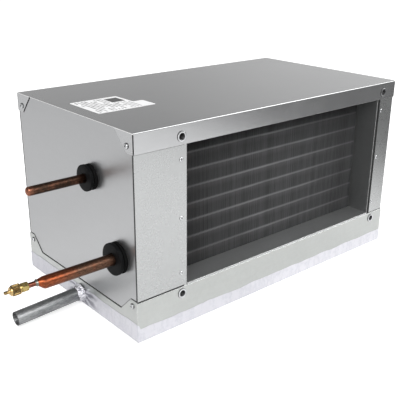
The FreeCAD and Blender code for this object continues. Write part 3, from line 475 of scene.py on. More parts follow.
SHEET = galvanised("sheet", (0.515, 0.525, 0.523), 0.28, contrast=0.7, rolling=(1, 1, 0.1))
LID_SHEET = galvanised("lid_sheet", (0.54, 0.545, 0.55), 0.22, shift=1.7)
TRAY_SHEET = galvanised("tray_sheet", (0.545, 0.56, 0.545), 0.30, shift=3.1)
COVER_SHEET = galvanised("cover_sheet", (0.495, 0.50, 0.505), 0.33, contrast=0.5, shift=5.3,
                         rolling=(1, 0.1, 1))
DUCT_SHEET = galvanised("duct_sheet", (0.50, 0.51, 0.51), 0.34, shift=7.9, metallic=0.8)
# The tube sheets inside the duct mouth: the duct sheet darkened as painted shade.
SHADED_WALL_SHEET = galvanised("wall_sheet", (0.29, 0.295, 0.295), 0.34, shift=7.9, metallic=0.8)
PIPE_ZINC = weathered_pipe()
FINS = coated_fins()
COIL_COPPER = copper("coil_copper", (0.80, 0.44, 0.28), (0.45, 0.22, 0.13), 0.2, 0.3, 0.2)
SUCTION_COPPER = copper("suction_copper", (0.34, 0.075, 0.024), (0.110, 0.060, 0.040), -0.400, -0.335, 0.85)
LIQUID_COPPER = copper("liquid_copper", (0.46, 0.18, 0.11), (0.055, 0.032, 0.022), -0.3775, -0.362, 0.80)
STUB_COPPER = copper("stub_copper", (0.20, 0.070, 0.045), (0.10, 0.035, 0.025), -0.402, -0.395, 0.3)
SOLDER = turned_metal("solder", (0.24, 0.235, 0.21), (0.07, 0.06, 0.05), 0.30, grain=900.0)
BRASS = turned_metal("brass", (0.46, 0.36, 0.14), (0.24, 0.17, 0.06), 0.26)
CAP_BRASS = turned_metal("cap_brass", (0.60, 0.42, 0.18), (0.26, 0.17, 0.07), 0.26)
STEEL = turned_metal("core_steel", (0.70, 0.69, 0.66), (0.40, 0.39, 0.37), 0.25)
ZINC_PLATE = turned_metal("zinc_plate", (0.68, 0.69, 0.70), (0.32, 0.33, 0.34), 0.20)
RIVET_METAL = turned_metal("rivet_metal", (0.74, 0.75, 0.76), (0.44, 0.45, 0.46), 0.20)
RUBBER = moulded_rubber("grommet_rubber", (0.0045, 0.0048, 0.0052), 0.50)
SEAL = moulded_rubber("seal_rubber", (0.030, 0.028, 0.027), 0.55)
FOIL = crumpled_foil()
LABEL = film_label()
BLADES = extruded_plastic("blade_plastic", (0.13, 0.135, 0.14))


# Mesh building

def added(name, data):
    """A new object in the scene."""
    made = bpy.data.objects.new(name, data)
    bpy.context.scene.collection.objects.link(made)
    return made


def present(name, mesh, stands_for=(), body=CASING):
    """Puts a finished mesh in the scene on its body, in place of the nodes it stands for."""
    piece = added(name, mesh)
    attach(piece, body)
    if stands_for:
        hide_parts(*stands_for)
    return piece


def as_mesh(name, shells, smooth=35.0):
    """One mesh of several closed shells, shaded smooth up to an angle."""
    whole = bmesh.new()
    for shell in shells:
        part = bpy.data.meshes.new("part")
        shell.to_mesh(part)
        whole.from_mesh(part)
        bpy.data.meshes.remove(part)
        shell.free()
    mesh = bpy.data.meshes.new(name)
    whole.to_mesh(mesh)
    whole.free()
    mesh.shade_smooth()
    mesh.set_sharp_from_angle(angle=math.radians(smooth))
    return mesh


def build(name, shells, material, stands_for=(), body=CASING, smooth=35.0):
    """A piece of closed shells in one material."""
    mesh = as_mesh(name, shells, smooth)
    mesh.materials.append(material)
    return present(name, mesh, stands_for, body)


def skin(rings, closed=False):
    """A closed surface through rings of equal size, capped at its ends or joined end to end."""
    body = bmesh.new()
    rows = [[body.verts.new(point) for point in ring] for ring in rings]
    pairs = list(zip(rows, rows[1:]))
    if closed:
        pairs.append((rows[-1], rows[0]))
    else:
        body.faces.new(rows[0])
        body.faces.new(rows[-1])
    for near_ring, far_ring in pairs:
        for step in range(len(near_ring)):
            after = (step + 1) % len(near_ring)
            body.faces.new((near_ring[step], near_ring[after], far_ring[after], far_ring[step]))
    bmesh.ops.recalc_face_normals(body, faces=body.faces)
    return body


def soften(points, radius, closed=False):
    """An outline whose corners are rounded in two steps."""
    result = []
    for index, point in enumerate(points):
        if not closed and index in (0, len(points) - 1):
            result.append(point)
            continue
        corner = Vector(point)
        ways = [Vector(points[other % len(points)]) - corner for other in (index - 1, index + 1)]
        first, last = (corner + way.normalized() * min(radius, way.length * 0.45) for way in ways)
        middle = first * 0.25 + corner * 0.5 + last * 0.25
        result += [tuple(first), tuple(middle), tuple(last)]
    return result


def polar(radius, angle, along):
    """A point in metres round the Z axis, from millimetres."""
    reach = radius * MM
    return Vector((reach * math.cos(angle), reach * math.sin(angle), along * MM))


def round_angles(steps):
    return [math.tau * step / steps for step in range(steps)]


def lathe(profile, steps=64, closed=False, shape=None):
    """A turned solid on Z from (along, radius) in millimetres; shape changes a radius by angle."""
    def reach(along, radius, angle):
        return shape(along, radius, angle) if shape else radius

    return skin([
        [polar(reach(along, radius, angle), angle, along) for angle in round_angles(steps)]
        for along, radius in profile
    ], closed)


def marks(body, name):
    return body.faces.layers.float.get(name) or body.faces.layers.float.new(name)


def mark_hollow(body, darkness, inside):
    """Marks painted shade on the faces whose centre, as radius and height in millimetres, lies in a recess or on a
    rim that the test picks.
    """
    layer = marks(body, "shade")
    for face in body.faces:
        middle = face.calc_center_median()
        if inside(middle.xy.length / MM, middle.z / MM):
            face[layer] = darkness
    return body


def moved(body, matrix):
    body.transform(matrix)
    return body


def standing(place, along):
    """The matrix that brings a piece's Z axis onto a direction at a place."""
    return Matrix.Translation(place) @ Vector(along).to_track_quat("Z", "Y").to_matrix().to_4x4()


def along_x(body, x, y, z):
    """Stands a turned shape so that its Z axis points to -X from a place."""
    return moved(body, standing(Vector((x, y, z)), (-1, 0, 0)))


def on_valve(body, x):
    return along_x(body, x, SUCTION_Y, VALVE_Z)


# Sheets

def clean_copy(node):
    """A node's mesh with its triangles joined, as a closed surface."""
    body = bmesh.new()
    body.from_mesh(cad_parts[node].data)
    bmesh.ops.remove_doubles(body, verts=body.verts, dist=0.002 * MM)
    bmesh.ops.dissolve_limit(body, angle_limit=math.radians(1.0), verts=body.verts, edges=body.edges)
    return body


def broken_edges(body):
    """Bevels the outward corners and marks the new faces as edges, which the materials lighten as wear and painted
    highlight.
    """
    mark = marks(body, "edge")
    corners = [edge for edge in body.edges
               if edge.is_manifold and edge.calc_face_angle_signed() > math.radians(40)]
    made = bmesh.ops.bevel(body, geom=corners, offset=BROKEN_EDGE, segments=2, profile=0.5, affect="EDGES",
                           clamp_overlap=True)
    for face in made["faces"]:
        face[mark] = 1.0


def mark_strip(body, start, stop, inward, width, facing, amount, name="shade"):
    """Marks a narrow strip of a flat face beside a joint or an edge, from start to stop and width inward."""
    layer = marks(body, name)
    start, stop, inward, facing = (Vector(value) for value in (start, stop, inward, facing))
    run = stop - start
    along = run.normalized()

    def on_face(face):
        flat = face.normal.dot(facing) > 0.999
        return flat and abs((face.calc_center_median() - start).dot(facing)) < TOUCH

    for place, normal in ((start, inward), (start + inward * width, inward), (start, along), (stop, along)):
        faces = [face for face in body.faces if on_face(face)]
        parts = set(faces)
        for face in faces:
            parts.update(face.edges, face.verts)
        bmesh.ops.bisect_plane(body, geom=list(parts), dist=0.01 * MM, plane_co=place, plane_no=normal)
    for face in body.faces:
        spot = face.calc_center_median() - start
        if on_face(face) and 0 < spot.dot(inward) < width and 0 < spot.dot(along) < run.length:
            face[layer] = amount


def near(place, *values):
    return any(abs(place - value) < TOUCH for value in values)


def close_corner(body, corner):
    """Paints shade on the faces that stand where two sheets meet in a corner, and takes off their edge marks."""
    edge, shade = marks(body, "edge"), marks(body, "shade")
    for face in body.faces:
        if corner(face.calc_center_median()):
            face[edge], face[shade] = 0.0, 0.85


def sort_by_place(body):
    """Sorts points, edges and faces, because bisect_plane leaves them in a different order in each run."""
    for group in (body.verts, body.edges, body.faces):
        placed = sorted(group, key=lambda item: sorted(tuple(vert.co) for vert in getattr(item, "verts", (item,))))
        for index, item in enumerate(placed):
            item.index = index
        group.sort()


def dress_sheet(node, material, strips=(), corner=None):
    """A sheet whose cut edges are broken, with flat faces that stay flat in shading."""
    body = clean_copy(node)
    broken_edges(body)
    if corner:
        close_corner(body, corner)
    for strip in strips:
        mark_strip(body, *strip)
    sort_by_place(body)
    piece = build(node + "_dressed", [body], material, [node], smooth=50.0)
    piece.modifiers.new("flat_faces", "WEIGHTED_NORMAL").keep_sharp = True


def cover_corner(spot):
    return near(abs(spot.y), COVER_CORNER)


def panel_corner(spot):
    return near(spot.x, LEFT + SHEET_GAUGE, RIGHT - SHEET_GAUGE, PANEL_EDGE)


def lid_corner(spot):
    return near(spot.x, LEFT, RIGHT) and abs(spot.y) > TAB_START + TOUCH and spot.z < LID_UNDER - 0.5 * MM


def cover_strips(face, side):
    """Painted shade as dark lines on a side cover along the tray's wall, its tabs, the lid's tabs and its front
    and rear corners.
    """
    strips = []

    def line(start, stop, inward, width, darkness):
        strips.append(((face, *start), (face, *stop), (0, *inward), width * MM, (side, 0, 0), darkness))

    reach = TAB_START - TAB_ROOT
    for end in (-1, 1):
        root, tip = end * reach, end * (TAB_START - TAB_TIP)
        slope = Vector((tip - root, TAB_TOP - TRAY_SIDE)).normalized()
        across = (-end * slope.y, abs(slope.x))
        line((root, TRAY_SIDE), (tip, TAB_TOP), across, 1.5, 0.95 if end > 0 else 0.45)
        line((tip, TAB_TOP), (end * TAB_START, TAB_TOP), (0, 1), 1.3, 0.8)
        slope = Vector((tip - root, LID_EDGE - LID_UNDER)).normalized()
        across = (-end * abs(slope.y), -abs(slope.x))
        line((root, LID_UNDER), (tip, LID_EDGE), across, 1.7, 0.95 if end > 0 else 0.22)
    line((-reach, TRAY_SIDE), (reach, TRAY_SIDE), (0, 1), 1.5, 0.95)
    for end in (-1, 1):
        line((end * COVER_CORNER, TAB_TOP), (end * COVER_CORNER, LID_EDGE), (-end, 0), 1.3, 0.9)
    return strips


def panel_strips(side, end):
    """Painted shade as dark lines on a panel beside the duct mouth, along the sheets that overlap it."""
    face, low, high = end * PANEL_FACE, TRAY_EDGE, LID_EDGE
    outer, inner = (LEFT + SHEET_GAUGE if side < 0 else RIGHT - SHEET_GAUGE), side * PANEL_EDGE
    return [
        ((start[0], face, start[1]), (stop[0], face, stop[1]), inward, width * MM, (0, end, 0), darkness)
        for start, stop, inward, width, darkness in (
            ((outer, low), (inner, low), (0, 0, 1), 1.9, 0.9 if side < 0 else 0.5),
            ((outer, high), (inner, high), (0, 0, -1), 1.2, 0.35),
            ((outer, low), (outer, high), (-side, 0, 0), 0.6, 0.6),
            ((inner, low), (inner, high), (side, 0, 0), 3.8, 0.95 if side > 0 else 0.0),
        )
    ]


def lid_strips():
    """Painted shade as dark lines at the flanges' ends, and painted highlight lines along the upper edges of the
    lid's sides.
    """
    sides, low, high = ((LEFT, -1), (RIGHT, 1)), LID_UNDER - SHEET_GAUGE, LID_UNDER + SHEET_GAUGE
    ends = [
        ((x, y * HALF_DEPTH, LID_EDGE), (x, y * HALF_DEPTH, low), (-sign, 0, 0), 1.7 * MM, (0, y, 0), 0.95)
        for x, sign in sides for y in (-1, 1)
    ]
    # Painted highlight lines on the lid's side edges, marked as edges.
    return ends + [
        ((x, -HALF_DEPTH, high), (x, HALF_DEPTH, high), (0, 0, -1), 1.1 * MM, (sign, 0, 0), 1.0, "edge")
        for x, sign in sides
    ]


dress_sheet("top_cover", LID_SHEET, lid_strips(), lid_corner)
dress_sheet("drip_tray", TRAY_SHEET)
dress_sheet("connection_side_cover", COVER_SHEET, cover_strips(LEFT + SHEET_GAUGE, -1), cover_corner)
dress_sheet("blind_side_cover", COVER_SHEET, cover_strips(RIGHT - SHEET_GAUGE, 1), cover_corner)
for word, end in (("front", -1), ("rear", 1)):
    for hand, side in (("left", -1), ("right", 1)):
        dress_sheet(f"{word}_{hand}_panel", SHEET, panel_strips(side, end), panel_corner)
for hand in ("left", "right"):
    dress_sheet(hand + "_tube_sheet", SHADED_WALL_SHEET)
for node in ("front_floor_plate", "middle_floor_plate", "rear_floor_plate", "duct_ceiling_plate",
             "eliminator_side_plates", "eliminator_rails"):
    dress_sheet(node, DUCT_SHEET)


# Geometry node trees for what repeats or follows a path

def grow_tree(name, inputs):
    sockets = [("Geometry", GEOMETRY), *inputs, ("Material", MATERIAL)]
    return new_tree("GeometryNodeTree", name, sockets, [("Geometry", GEOMETRY)])


def end_tree(net, given, result, instances):
    real = net.out("GeometryNodeRealizeInstances", {"Geometry": instances})
    painted = net.out("GeometryNodeSetMaterial", {"Geometry": real, "Material": given["Material"]})
    net.feed(result["Geometry"], painted)
    return net.tree


def plate_row(name, cuts, bend):
    """Upright plates in a row along X, each bent sideways along the air flow."""
    net, given, result = grow_tree(name, [
        ("Count", INTEGER, 1),
        ("Pitch", FLOAT, 0.01),
        ("Gauge", FLOAT, 0.001),
        ("Depth", FLOAT, 0.1),
        ("Height", FLOAT, 0.2),
        ("Throw", FLOAT, 0.001),
        ("Wavelength", FLOAT, 0.01),
    ])
    size = net.vector(given["Gauge"], given["Depth"], given["Height"])
    corners = {"Size": size, "Vertices X": 2, "Vertices Y": cuts, "Vertices Z": 2}
    along = net.parts(net.out("GeometryNodeInputPosition"))[1]
    throw = bend(net, along / given["Wavelength"]) * given["Throw"]
    flat = net.out("GeometryNodeMeshCube", corners, "Mesh")
    plate = net.out("GeometryNodeSetPosition", {"Geometry": flat, "Offset": net.vector(throw)})
    row = net.out("GeometryNodeMeshLine", {
        "Count": given["Count"],
        "Start Location": net.vector((given["Count"] - 1.0) * (given["Pitch"] * -0.5)),
        "Offset": net.vector(given["Pitch"]),
    })
    plates = net.out("GeometryNodeInstanceOnPoints", {"Points": row, "Instance": plate})
    return end_tree(net, given, result, plates)


def ripple(net, waves):
    return net.maths("SINE", waves * math.tau)


def zigzag(net, waves):
    """Straight flanks with slightly rounded bends, from -0.5 to 0.5."""
    swing = net.maths("PINGPONG", waves, 0.5)
    soft = swing.spread(0.0, 0.5, -0.5, 0.5, "SMOOTHSTEP")
    return soft * 0.3 + (swing * 1.4 - 0.35)


def repeated_heads():
    """A fastener on each given point, turned by its own chance angle about the point's axis."""
    net, given, result = grow_tree("repeated_heads", [
        ("Head", OBJECT),
        ("Axis turn", VECTOR, (0.0, 0.0, 0.0)),
        ("Seed", INTEGER, 1),
    ])
    head = net.out("GeometryNodeObjectInfo", {"Object": given["Head"]}, "Geometry")
    chance = net.out("FunctionNodeRandomValue", {3: math.tau, "Seed": given["Seed"]}, 1, data_type="FLOAT")
    tilt = net.out("FunctionNodeEulerToRotation", {0: given["Axis turn"]})
    own = net.out("FunctionNodeEulerToRotation", {0: net.vector(z=chance)})
    turn = net.out("FunctionNodeRotateRotation", {0: tilt, 1: own}, rotation_space="LOCAL")
    points = net.out("GeometryNodeMeshToPoints", {"Mesh": given["Geometry"]})
    heads = net.out("GeometryNodeInstanceOnPoints", {"Points": points, "Instance": head, "Rotation": turn})
    return end_tree(net, given, result, heads)


def bent_tubes():
    """Round tube along each given run of edges, with rounded bends."""
    net, given, result = grow_tree("bent_tubes", [
        ("Radius", FLOAT, TUBE_RADIUS),
        ("Bend", FLOAT, TUBE_PITCH / 2),
        ("Sides", INTEGER, 16),
    ])
    corner = {
        "Curve": net.out("GeometryNodeMeshToCurve", {"Mesh": given["Geometry"]}),
        "Count": 6,
        "Radius": given["Bend"],
        "Limit Radius": True,
    }
    bent = net.out("GeometryNodeFilletCurve", corner, mode="POLY")
    round_section = {"Resolution": given["Sides"], "Radius": given["Radius"]}
    ring = net.out("GeometryNodeCurvePrimitiveCircle", round_section)
    tube = net.out("GeometryNodeCurveToMesh", {"Curve": bent, "Profile Curve": ring, "Fill Caps": True})
    return end_tree(net, given, result, tube)


def grown(name, tree, seeds, **values):
    """The plain mesh that a geometry tree makes from the given seed mesh."""
    host = added(name + "_host", seeds)
    modifier = host.modifiers.new("grow", "NODES")
    modifier.node_group = tree
    for socket in tree.interface.items_tree:
        label = socket.name.replace(" ", "_").lower()
        if socket.in_out == "INPUT" and label in values:
            modifier[socket.identifier] = values[label]
    scene_now = bpy.context.evaluated_depsgraph_get()
    mesh = bpy.data.meshes.new_from_object(host.evaluated_get(scene_now))
    host.modifiers.remove(modifier)
    bpy.data.objects.remove(host)
    mesh.name = name
    mesh.shade_smooth()
    mesh.set_sharp_from_angle(angle=math.radians(35))
    return mesh


def runs_through(routes):
    """A mesh of edges along each route; a route of one place is a point."""
    points, edges = [], []
    for route in routes:
        first = len(points)
        points += [tuple(place) for place in route]
        edges += [(index, index + 1) for index in range(first, len(points) - 1)]
    mesh = bpy.data.meshes.new("runs")
    mesh.from_pydata(points, edges, [])
    return mesh


HEADS = repeated_heads()
TUBES = bent_tubes()


# Finned coil and droplet eliminator

def plates_in(name, node, tree, slot, **sizes):
    """A row of bent plates that fills a node's box."""
    low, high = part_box(node)
    seed = runs_through([[(0, 0, 0)]])
    mesh = grown(name, tree, seed, depth=high.y - low.y, height=high.z - low.z, **sizes)
    mesh.transform(Matrix.Translation((low + high) / 2))
    present(name, mesh, [node])


def fin_row():
    plates_in("coil_fins", "fin_pack", plate_row("rippled_fins", 25, ripple), "fins", count=FIN_COUNT,
              pitch=FIN_PITCH, gauge=FIN_GAUGE, throw=FIN_RIPPLE, wavelength=RIPPLE_LENGTH, material=FINS)


def eliminator():
    """Blades with two full waves over their depth."""
    low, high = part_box("eliminator_blades")
    plates_in("eliminator_blades_bent", "eliminator_blades", plate_row("zigzag_blades", 49, zigzag),
              "blade_plastic", count=BLADE_COUNT, pitch=BLADE_PITCH, gauge=BLADE_GAUGE, throw=BLADE_THROW,
              wavelength=(high.y - low.y) / 2, material=BLADES)


def level_height(level):
    return FIRST_LEVEL + level * TUBE_PITCH


def coil_tubes():
    """Hairpins, return bends, header stubs and capillaries as round tube."""
    end, bend, header = TUBE_END, TUBE_PITCH / 2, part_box("suction_header")[0].x + HEADER_RADIUS
    hairpins, returns, stubs, capillaries = [], [], [], []
    for circuit in range(LEVELS // 2):
        low, high = level_height(2 * circuit), level_height(2 * circuit + 1)
        for row in ROWS:
            hairpins.append([(-end, row, low), (end + bend, row, low), (end + bend, row, high),
                             (-end, row, high)])
        for index, (first, second) in enumerate(zip(ROWS, ROWS[1:])):
            height = (low, high)[(len(ROWS) - 1 - index) % 2]
            reach = -end - (second - first) / 2
            returns.append([(-end, first, height), (reach, first, height), (reach, second, height),
                            (-end, second, height)])
        stubs.append([(-end, ROWS[0], high), ((header - 2 * end) / 3, ROWS[0], high),
                      (header + 0.004, SUCTION_Y + 0.001, high)])
        turn = math.tau * (circuit + 0.5) / (LEVELS / 2)
        across = LIQUID_Y + CAPILLARY_CIRCLE * math.sin(turn)
        up = LIQUID_Z - CAPILLARY_CIRCLE * math.cos(turn)
        run = DISTRIBUTOR_START + CAPILLARY_STAGGER * (circuit + 1)
        capillaries.append([(DISTRIBUTOR_START - 0.0002, across, up), (run, across, up), (run, ROWS[-1], low),
                            (-end, ROWS[-1], low)])
    for name, routes, radius, bend_radius, sides in (
        ("hairpin_tubes", hairpins, TUBE_RADIUS, bend, 16),
        ("return_bends", returns, TUBE_RADIUS, RETURN_BEND, 16),
        ("header_stubs", stubs, TUBE_RADIUS, STUB_BEND, 16),
        ("capillary_tubes", capillaries, CAPILLARY_RADIUS, CAPILLARY_BEND, 10),
    ):
        mesh = grown(name + "_round", TUBES, runs_through(routes), radius=radius, bend=bend_radius,
                     sides=sides, material=COIL_COPPER)
        present(name + "_round", mesh, [name])


fin_row()
coil_tubes()
eliminator()


# Fasteners

def threaded_bore(radius, start, stop, pitch, depth):
    """Points of a ridged bore wall, from start to stop along the axis."""
    points = []
    count = int(abs(stop - start) / pitch)
    step = (stop - start) / count
    for index in range(count):
        points += [(start + step * index, radius), (start + step * (index + 0.5), radius + depth)]
    return points + [(stop, radius)]


def rivet_nut():
    """M8 rivet nut on Z: a rounded flange above the sheet and a threaded barrel behind it."""
    outside = [(-13, 5.4), (-0.02, 5.4), (0, 6.95), (0.55, 7.0), (0.85, 6.8), (1.0, 6.4)]
    bore = [(1.0, 4.6), (0.85, 4.3)] + threaded_bore(3.4, -0.1, -12.6, 1.25, 0.5)
    nut = lathe(outside + bore, 48, closed=True)
    # Painted shade in the bore and on the flange's outer rim.
    return mark_hollow(nut, 0.95, lambda radius, height: height < 0.97 and not 4.6 < radius < 6.65)


def blind_rivet():
    """Domed rivet head on Z with its mandrel's hole."""
    head = lathe([
        (-4.8, 1.6), (-0.02, 1.6), (0, 3.15), (0.18, 3.2), (0.50, 2.95), (0.82, 2.35), (1.02, 1.65),
        (1.08, 1.15), (0.98, 0.95), (0.35, 0.85), (0.30, 0.55), (0.45, 0.15),
    ], 32)
    # Painted shade in the mandrel hole and round the head's edge.
    return mark_hollow(head, 0.95, lambda radius, height: height > 0.3 and radius < 1.0 or radius > 3.0)


def pan_screw():
    """Pan-head screw on Z with a cross recess."""
    def recess(along, radius, angle):
        if along < 1.2 or radius > 1.95:
            return radius
        arm = max(abs(math.cos(angle)), abs(math.sin(angle)))
        return radius * (0.25 + 0.75 * max(0.0, (arm - 0.80) / 0.20))

    head = lathe([
        (-8.8, 1.2), (-8.0, 1.8), (-0.02, 1.8), (0, 3.9), (0.35, 4.0), (1.0, 3.85), (1.6, 3.35), (2.0, 2.5),
        (2.15, 2.0), (2.16, 1.9), (1.3, 1.6), (1.25, 0.3),
    ], 48, shape=recess)
    # Painted shade in the cross recess and round the head's rim.
    return mark_hollow(head, 0.9, lambda radius, height: 1.2 < height < 2.1 and radius < 1.88 or radius > 3.8)


def heads_at(name, head, places, outward, seed, material, node):
    """A fastener built on Z, repeated at places so that Z points outward."""
    template = added(name + "_head", as_mesh(name + "_head", [head]))
    turn = tuple(Vector(outward).to_track_quat("Z", "Y").to_euler())
    seeds = runs_through([[place] for place in places])
    mesh = grown(name, HEADS, seeds, head=template, axis_turn=turn, seed=seed, material=material)
    bpy.data.objects.remove(template)
    present(name, mesh, [node])


for end, word in ((-1, "front"), (1, "rear")):
    nut_places = [(side * BOLT_X, end * HALF_DEPTH, level) for side in (-1, 1) for level in BOLT_LEVELS]
    heads_at(word + "_nuts_threaded", rivet_nut(), nut_places, (0, end, 0), 3 + end, ZINC_PLATE,
             word + "_rivet_nuts")
    rivet_places = [(side * BOLT_X, end * PANEL_FACE, level) for side in (-1, 1) for level in RIVET_LEVELS]
    heads_at(word + "_rivets_domed", blind_rivet(), rivet_places, (0, end, 0), 7 + end, RIVET_METAL,
             word + "_rivets")
for side, face, word in ((-1, LEFT, "connection"), (1, RIGHT, "blind")):
    screw_places = [(face, end * across, level) for across, level in SCREW_PLACES for end in (-1, 1)]
    heads_at(word + "_screws_pan", pan_screw(), screw_places, (side, 0, 0), 12 + side, ZINC_PLATE,
             word + "_side_screws")


# Connection pipes

def suction_pipe():
    """Pipe with a swaged shoulder that closes off-centre on the valve's stub."""
    stations = [(SUCTION_START, SUCTION_RADIUS, 0.0), (CRIMP_START, SUCTION_RADIUS, 0.0)]
    for share in (0.12, 0.25, 0.38, 0.50, 0.62, 0.75, 0.88, 1.0):
        bend = share * share * (3 - 2 * share)
        radius = SUCTION_RADIUS - (SUCTION_RADIUS - CRIMP_NECK) * bend
        stations.append((CRIMP_START - CRIMP_LENGTH * share, radius, CRIMP_RISE * bend))
    rings = [
        [Vector((x, SUCTION_Y + radius * math.cos(angle), SUCTION_Z + rise + radius * math.sin(angle)))
         for angle in round_angles(64)]
        for x, radius, rise in stations
    ]
    build("suction_pipe_swaged", [skin(rings)], SUCTION_COPPER, ["suction_pipe"])


def solder_ring():
    """A fillet of silver solder where the stub leaves the crimp."""
    def lumps(along, radius, angle):
        return radius + (0.18 * math.sin(3 * angle + 1.0) if radius > 3.3 else 0.0)

    profile = [(0, 3.25), (0, 4.7), (0.9, 4.5), (1.5, 4.0), (2.1, 3.6), (2.7, 3.28)]
    ring = lathe(profile, 48, closed=True, shape=lumps)
    build("solder_ring", [on_valve(ring, CRIMP_END + 1.8 * MM)], SOLDER)


def valve_stub():
    stub = lathe([(0, 3.2), (9.7, 3.2), (10.0, 3.05), (10.6, 3.05)], 40)
    build("valve_stub_drawn", [on_valve(stub, CRIMP_END)], STUB_COPPER, ["valve_stub"])


def liquid_pipe():
    """Pipe with its end spun closed to a rounded tip."""
    shoulder, tip, slim = LIQUID_LENGTH - 4.2, 0.9, LIQUID_RADIUS - 0.2
    profile = [(0, slim), (32.5, slim), (33.0, LIQUID_RADIUS), (shoulder, LIQUID_RADIUS)]
    for share in (0.15, 0.35, 0.55, 0.75, 0.9):
        turn = share * math.pi / 2
        profile.append((shoulder + 4.0 * math.sin(turn), tip + (LIQUID_RADIUS - tip) * math.cos(turn)))
    profile += [(LIQUID_LENGTH - 0.2, tip), (LIQUID_LENGTH, 0.5)]
    pipe = along_x(lathe(profile), LIQUID_START, LIQUID_Y, LIQUID_Z)
    build("liquid_pipe_spun", [pipe], LIQUID_COPPER, ["liquid_pipe"])


def header_and_distributor():
    low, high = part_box("suction_header")
    radius, tall = (high.x - low.x) / 2 / MM, (high.z - low.z) / MM
    profile = soften([(0, 2), (0, radius), (tall, radius), (tall, 2)], 4)
    foot = Vector(((low.x + high.x) / 2, (low.y + high.y) / 2, low.z))
    header = moved(lathe(profile, 48), Matrix.Translation(foot))
    build("suction_header_capped", [header], COIL_COPPER, ["suction_header"])
    profile = soften([(0, 3), (0, 9), (10, 9), (16, 6.2), (16, 3)], 1.0)
    body = along_x(lathe(profile, 48), DISTRIBUTOR_START, LIQUID_Y, LIQUID_Z)
    build("distributor_turned", [body], BRASS, ["distributor"])


def grommet(line, place_y, place_z, bore, radius, neck):
    """Rubber grommet: two discs with a groove between them outside, a neck and a back lip inside."""
    outline = soften([
        (11.0, bore + 1.2), (11.0, radius), (6.2, radius), (6.0, radius - 2.2), (4.7, radius - 2.2),
        (4.5, radius - 0.6), (0.05, radius - 0.2), (0, neck), (-1.0, neck), (-1.1, radius - 2.4),
        (-5.0, radius - 3.0), (-5.0, bore + 0.3), (-4.0, bore), (10.2, bore),
    ], 0.7, closed=True)
    ring = lathe(outline, 96, closed=True)
    # Painted shade on everything behind the front disc: the groove, the second disc, the neck and the back lip.
    mark_hollow(ring, 0.85, lambda reach, height: height < 6.4 and reach < radius)
    shell = along_x(ring, GROMMET_SEAT, place_y, place_z)
    build(line + "_grommet_grooved", [shell], RUBBER, [line + "_grommet"])


suction_pipe()
solder_ring()
valve_stub()
liquid_pipe()
header_and_distributor()
grommet("suction", SUCTION_Y, SUCTION_Z, 8.08, 22, 16.9)
grommet("liquid", LIQUID_Y, LIQUID_Z, 5.88, 18, 12.9)


# Service valve

def helix_ridge(radius, height, pitch, start, turns, steps=32):
    """A thread's ridge on Z as one closed strip with tapered ends, in millimetres."""
    rings = []
    count = int(turns * steps)
    for index in range(count + 1):
        angle, along = math.tau * index / steps, start + pitch * index / steps
        crest = min(1.0, index / 8, (count - index) / 8)
        rings.append([
            polar(radius + height * rise, angle, along + shift * pitch)
            for shift, rise in ((-0.42, -0.05), (-0.08, crest), (0.08, crest), (0.42, -0.05))
        ])
    return skin(rings)


def valve_body():
    """Hexagon with chamfered corners and the threaded spigot with its core's recess."""
    def hexagon(along, radius, angle):
        if radius < 5.45 or along > 8.05:
            return radius
        sector = (angle + math.pi / 6) % (math.pi / 3) - math.pi / 6
        return min(radius, HEX_FLATS / 2 / math.cos(sector))

    body = lathe([
        (0, 0.86), (0, 5.5), (0.75, 6.35), (7.25, 6.35), (8.0, 5.5), (8.1, 4.9), (8.9, 4.9), (9.2, 5.05),
        (18.0, 5.05), (18.5, 4.6), (18.5, 2.6), (14.5, 2.5), (14.4, 0.86),
    ], 72, closed=True, shape=hexagon)
    parts = [on_valve(part, HEX_START) for part in (body, helix_ridge(5.0, 0.36, THREAD_PITCH, 9.7, 6.2))]
    build("valve_body_threaded", parts, BRASS, ["valve_body"])


def knurled_cap():
    """Cap with upright knurling between two plain bands and a forked core key on its end."""
    def knurl(along, radius, angle):
        if not 2.3 < along < 9.6 or radius < 6.0:
            return radius
        tooth = abs((angle * CAP_RIBS / math.tau) % 1.0 - 0.5) * 2
        return radius - 0.75 * min(1.0, 1.5 * (1 - tooth))

    body = lathe([
        (9.9, 0.4), (9.9, 5.45), (0.3, 5.45), (0, 5.8), (0, 6.3), (0.4, 6.7), (1.3, 6.7), (1.6, 6.1),
        (2.1, 6.1), (2.4, 6.75), (6.0, 6.8), (9.3, 6.75), (9.7, 6.1), (10.1, 6.0), (10.5, 5.7), (11.9, 5.2),
        (12.5, 4.4), (12.5, 2.3), (12.9, 2.1), (15.9, 2.1),
    ], CAP_RIBS * 8, shape=knurl)
    # Painted shade in the knurling's grooves.
    parts = [mark_hollow(body, 0.8, lambda radius, height: 1.5 < height < 10.4 and 5.6 < radius < 6.40)]
    for side in (-1, 1):
        prong = bmesh.new()
        bmesh.ops.create_cube(prong, size=1.0)
        prong.transform(Matrix.Diagonal((0.9 * MM, 3.2 * MM, 3.6 * MM, 1.0)))
        bmesh.ops.bevel(prong, geom=prong.edges[:], offset=0.25 * MM, segments=2, profile=0.5, affect="EDGES")
        prong.transform(Matrix.Translation((side * 1.15 * MM, 0, 17.5 * MM)))
        # Painted shade on the core key's prongs, all over.
        parts.append(mark_hollow(prong, 0.45, lambda radius, height: True))
    shells = [on_valve(part, CAP_RIM) for part in parts]
    build("valve_cap_knurled", shells, CAP_BRASS, ["valve_cap"], "cap", 28.0)


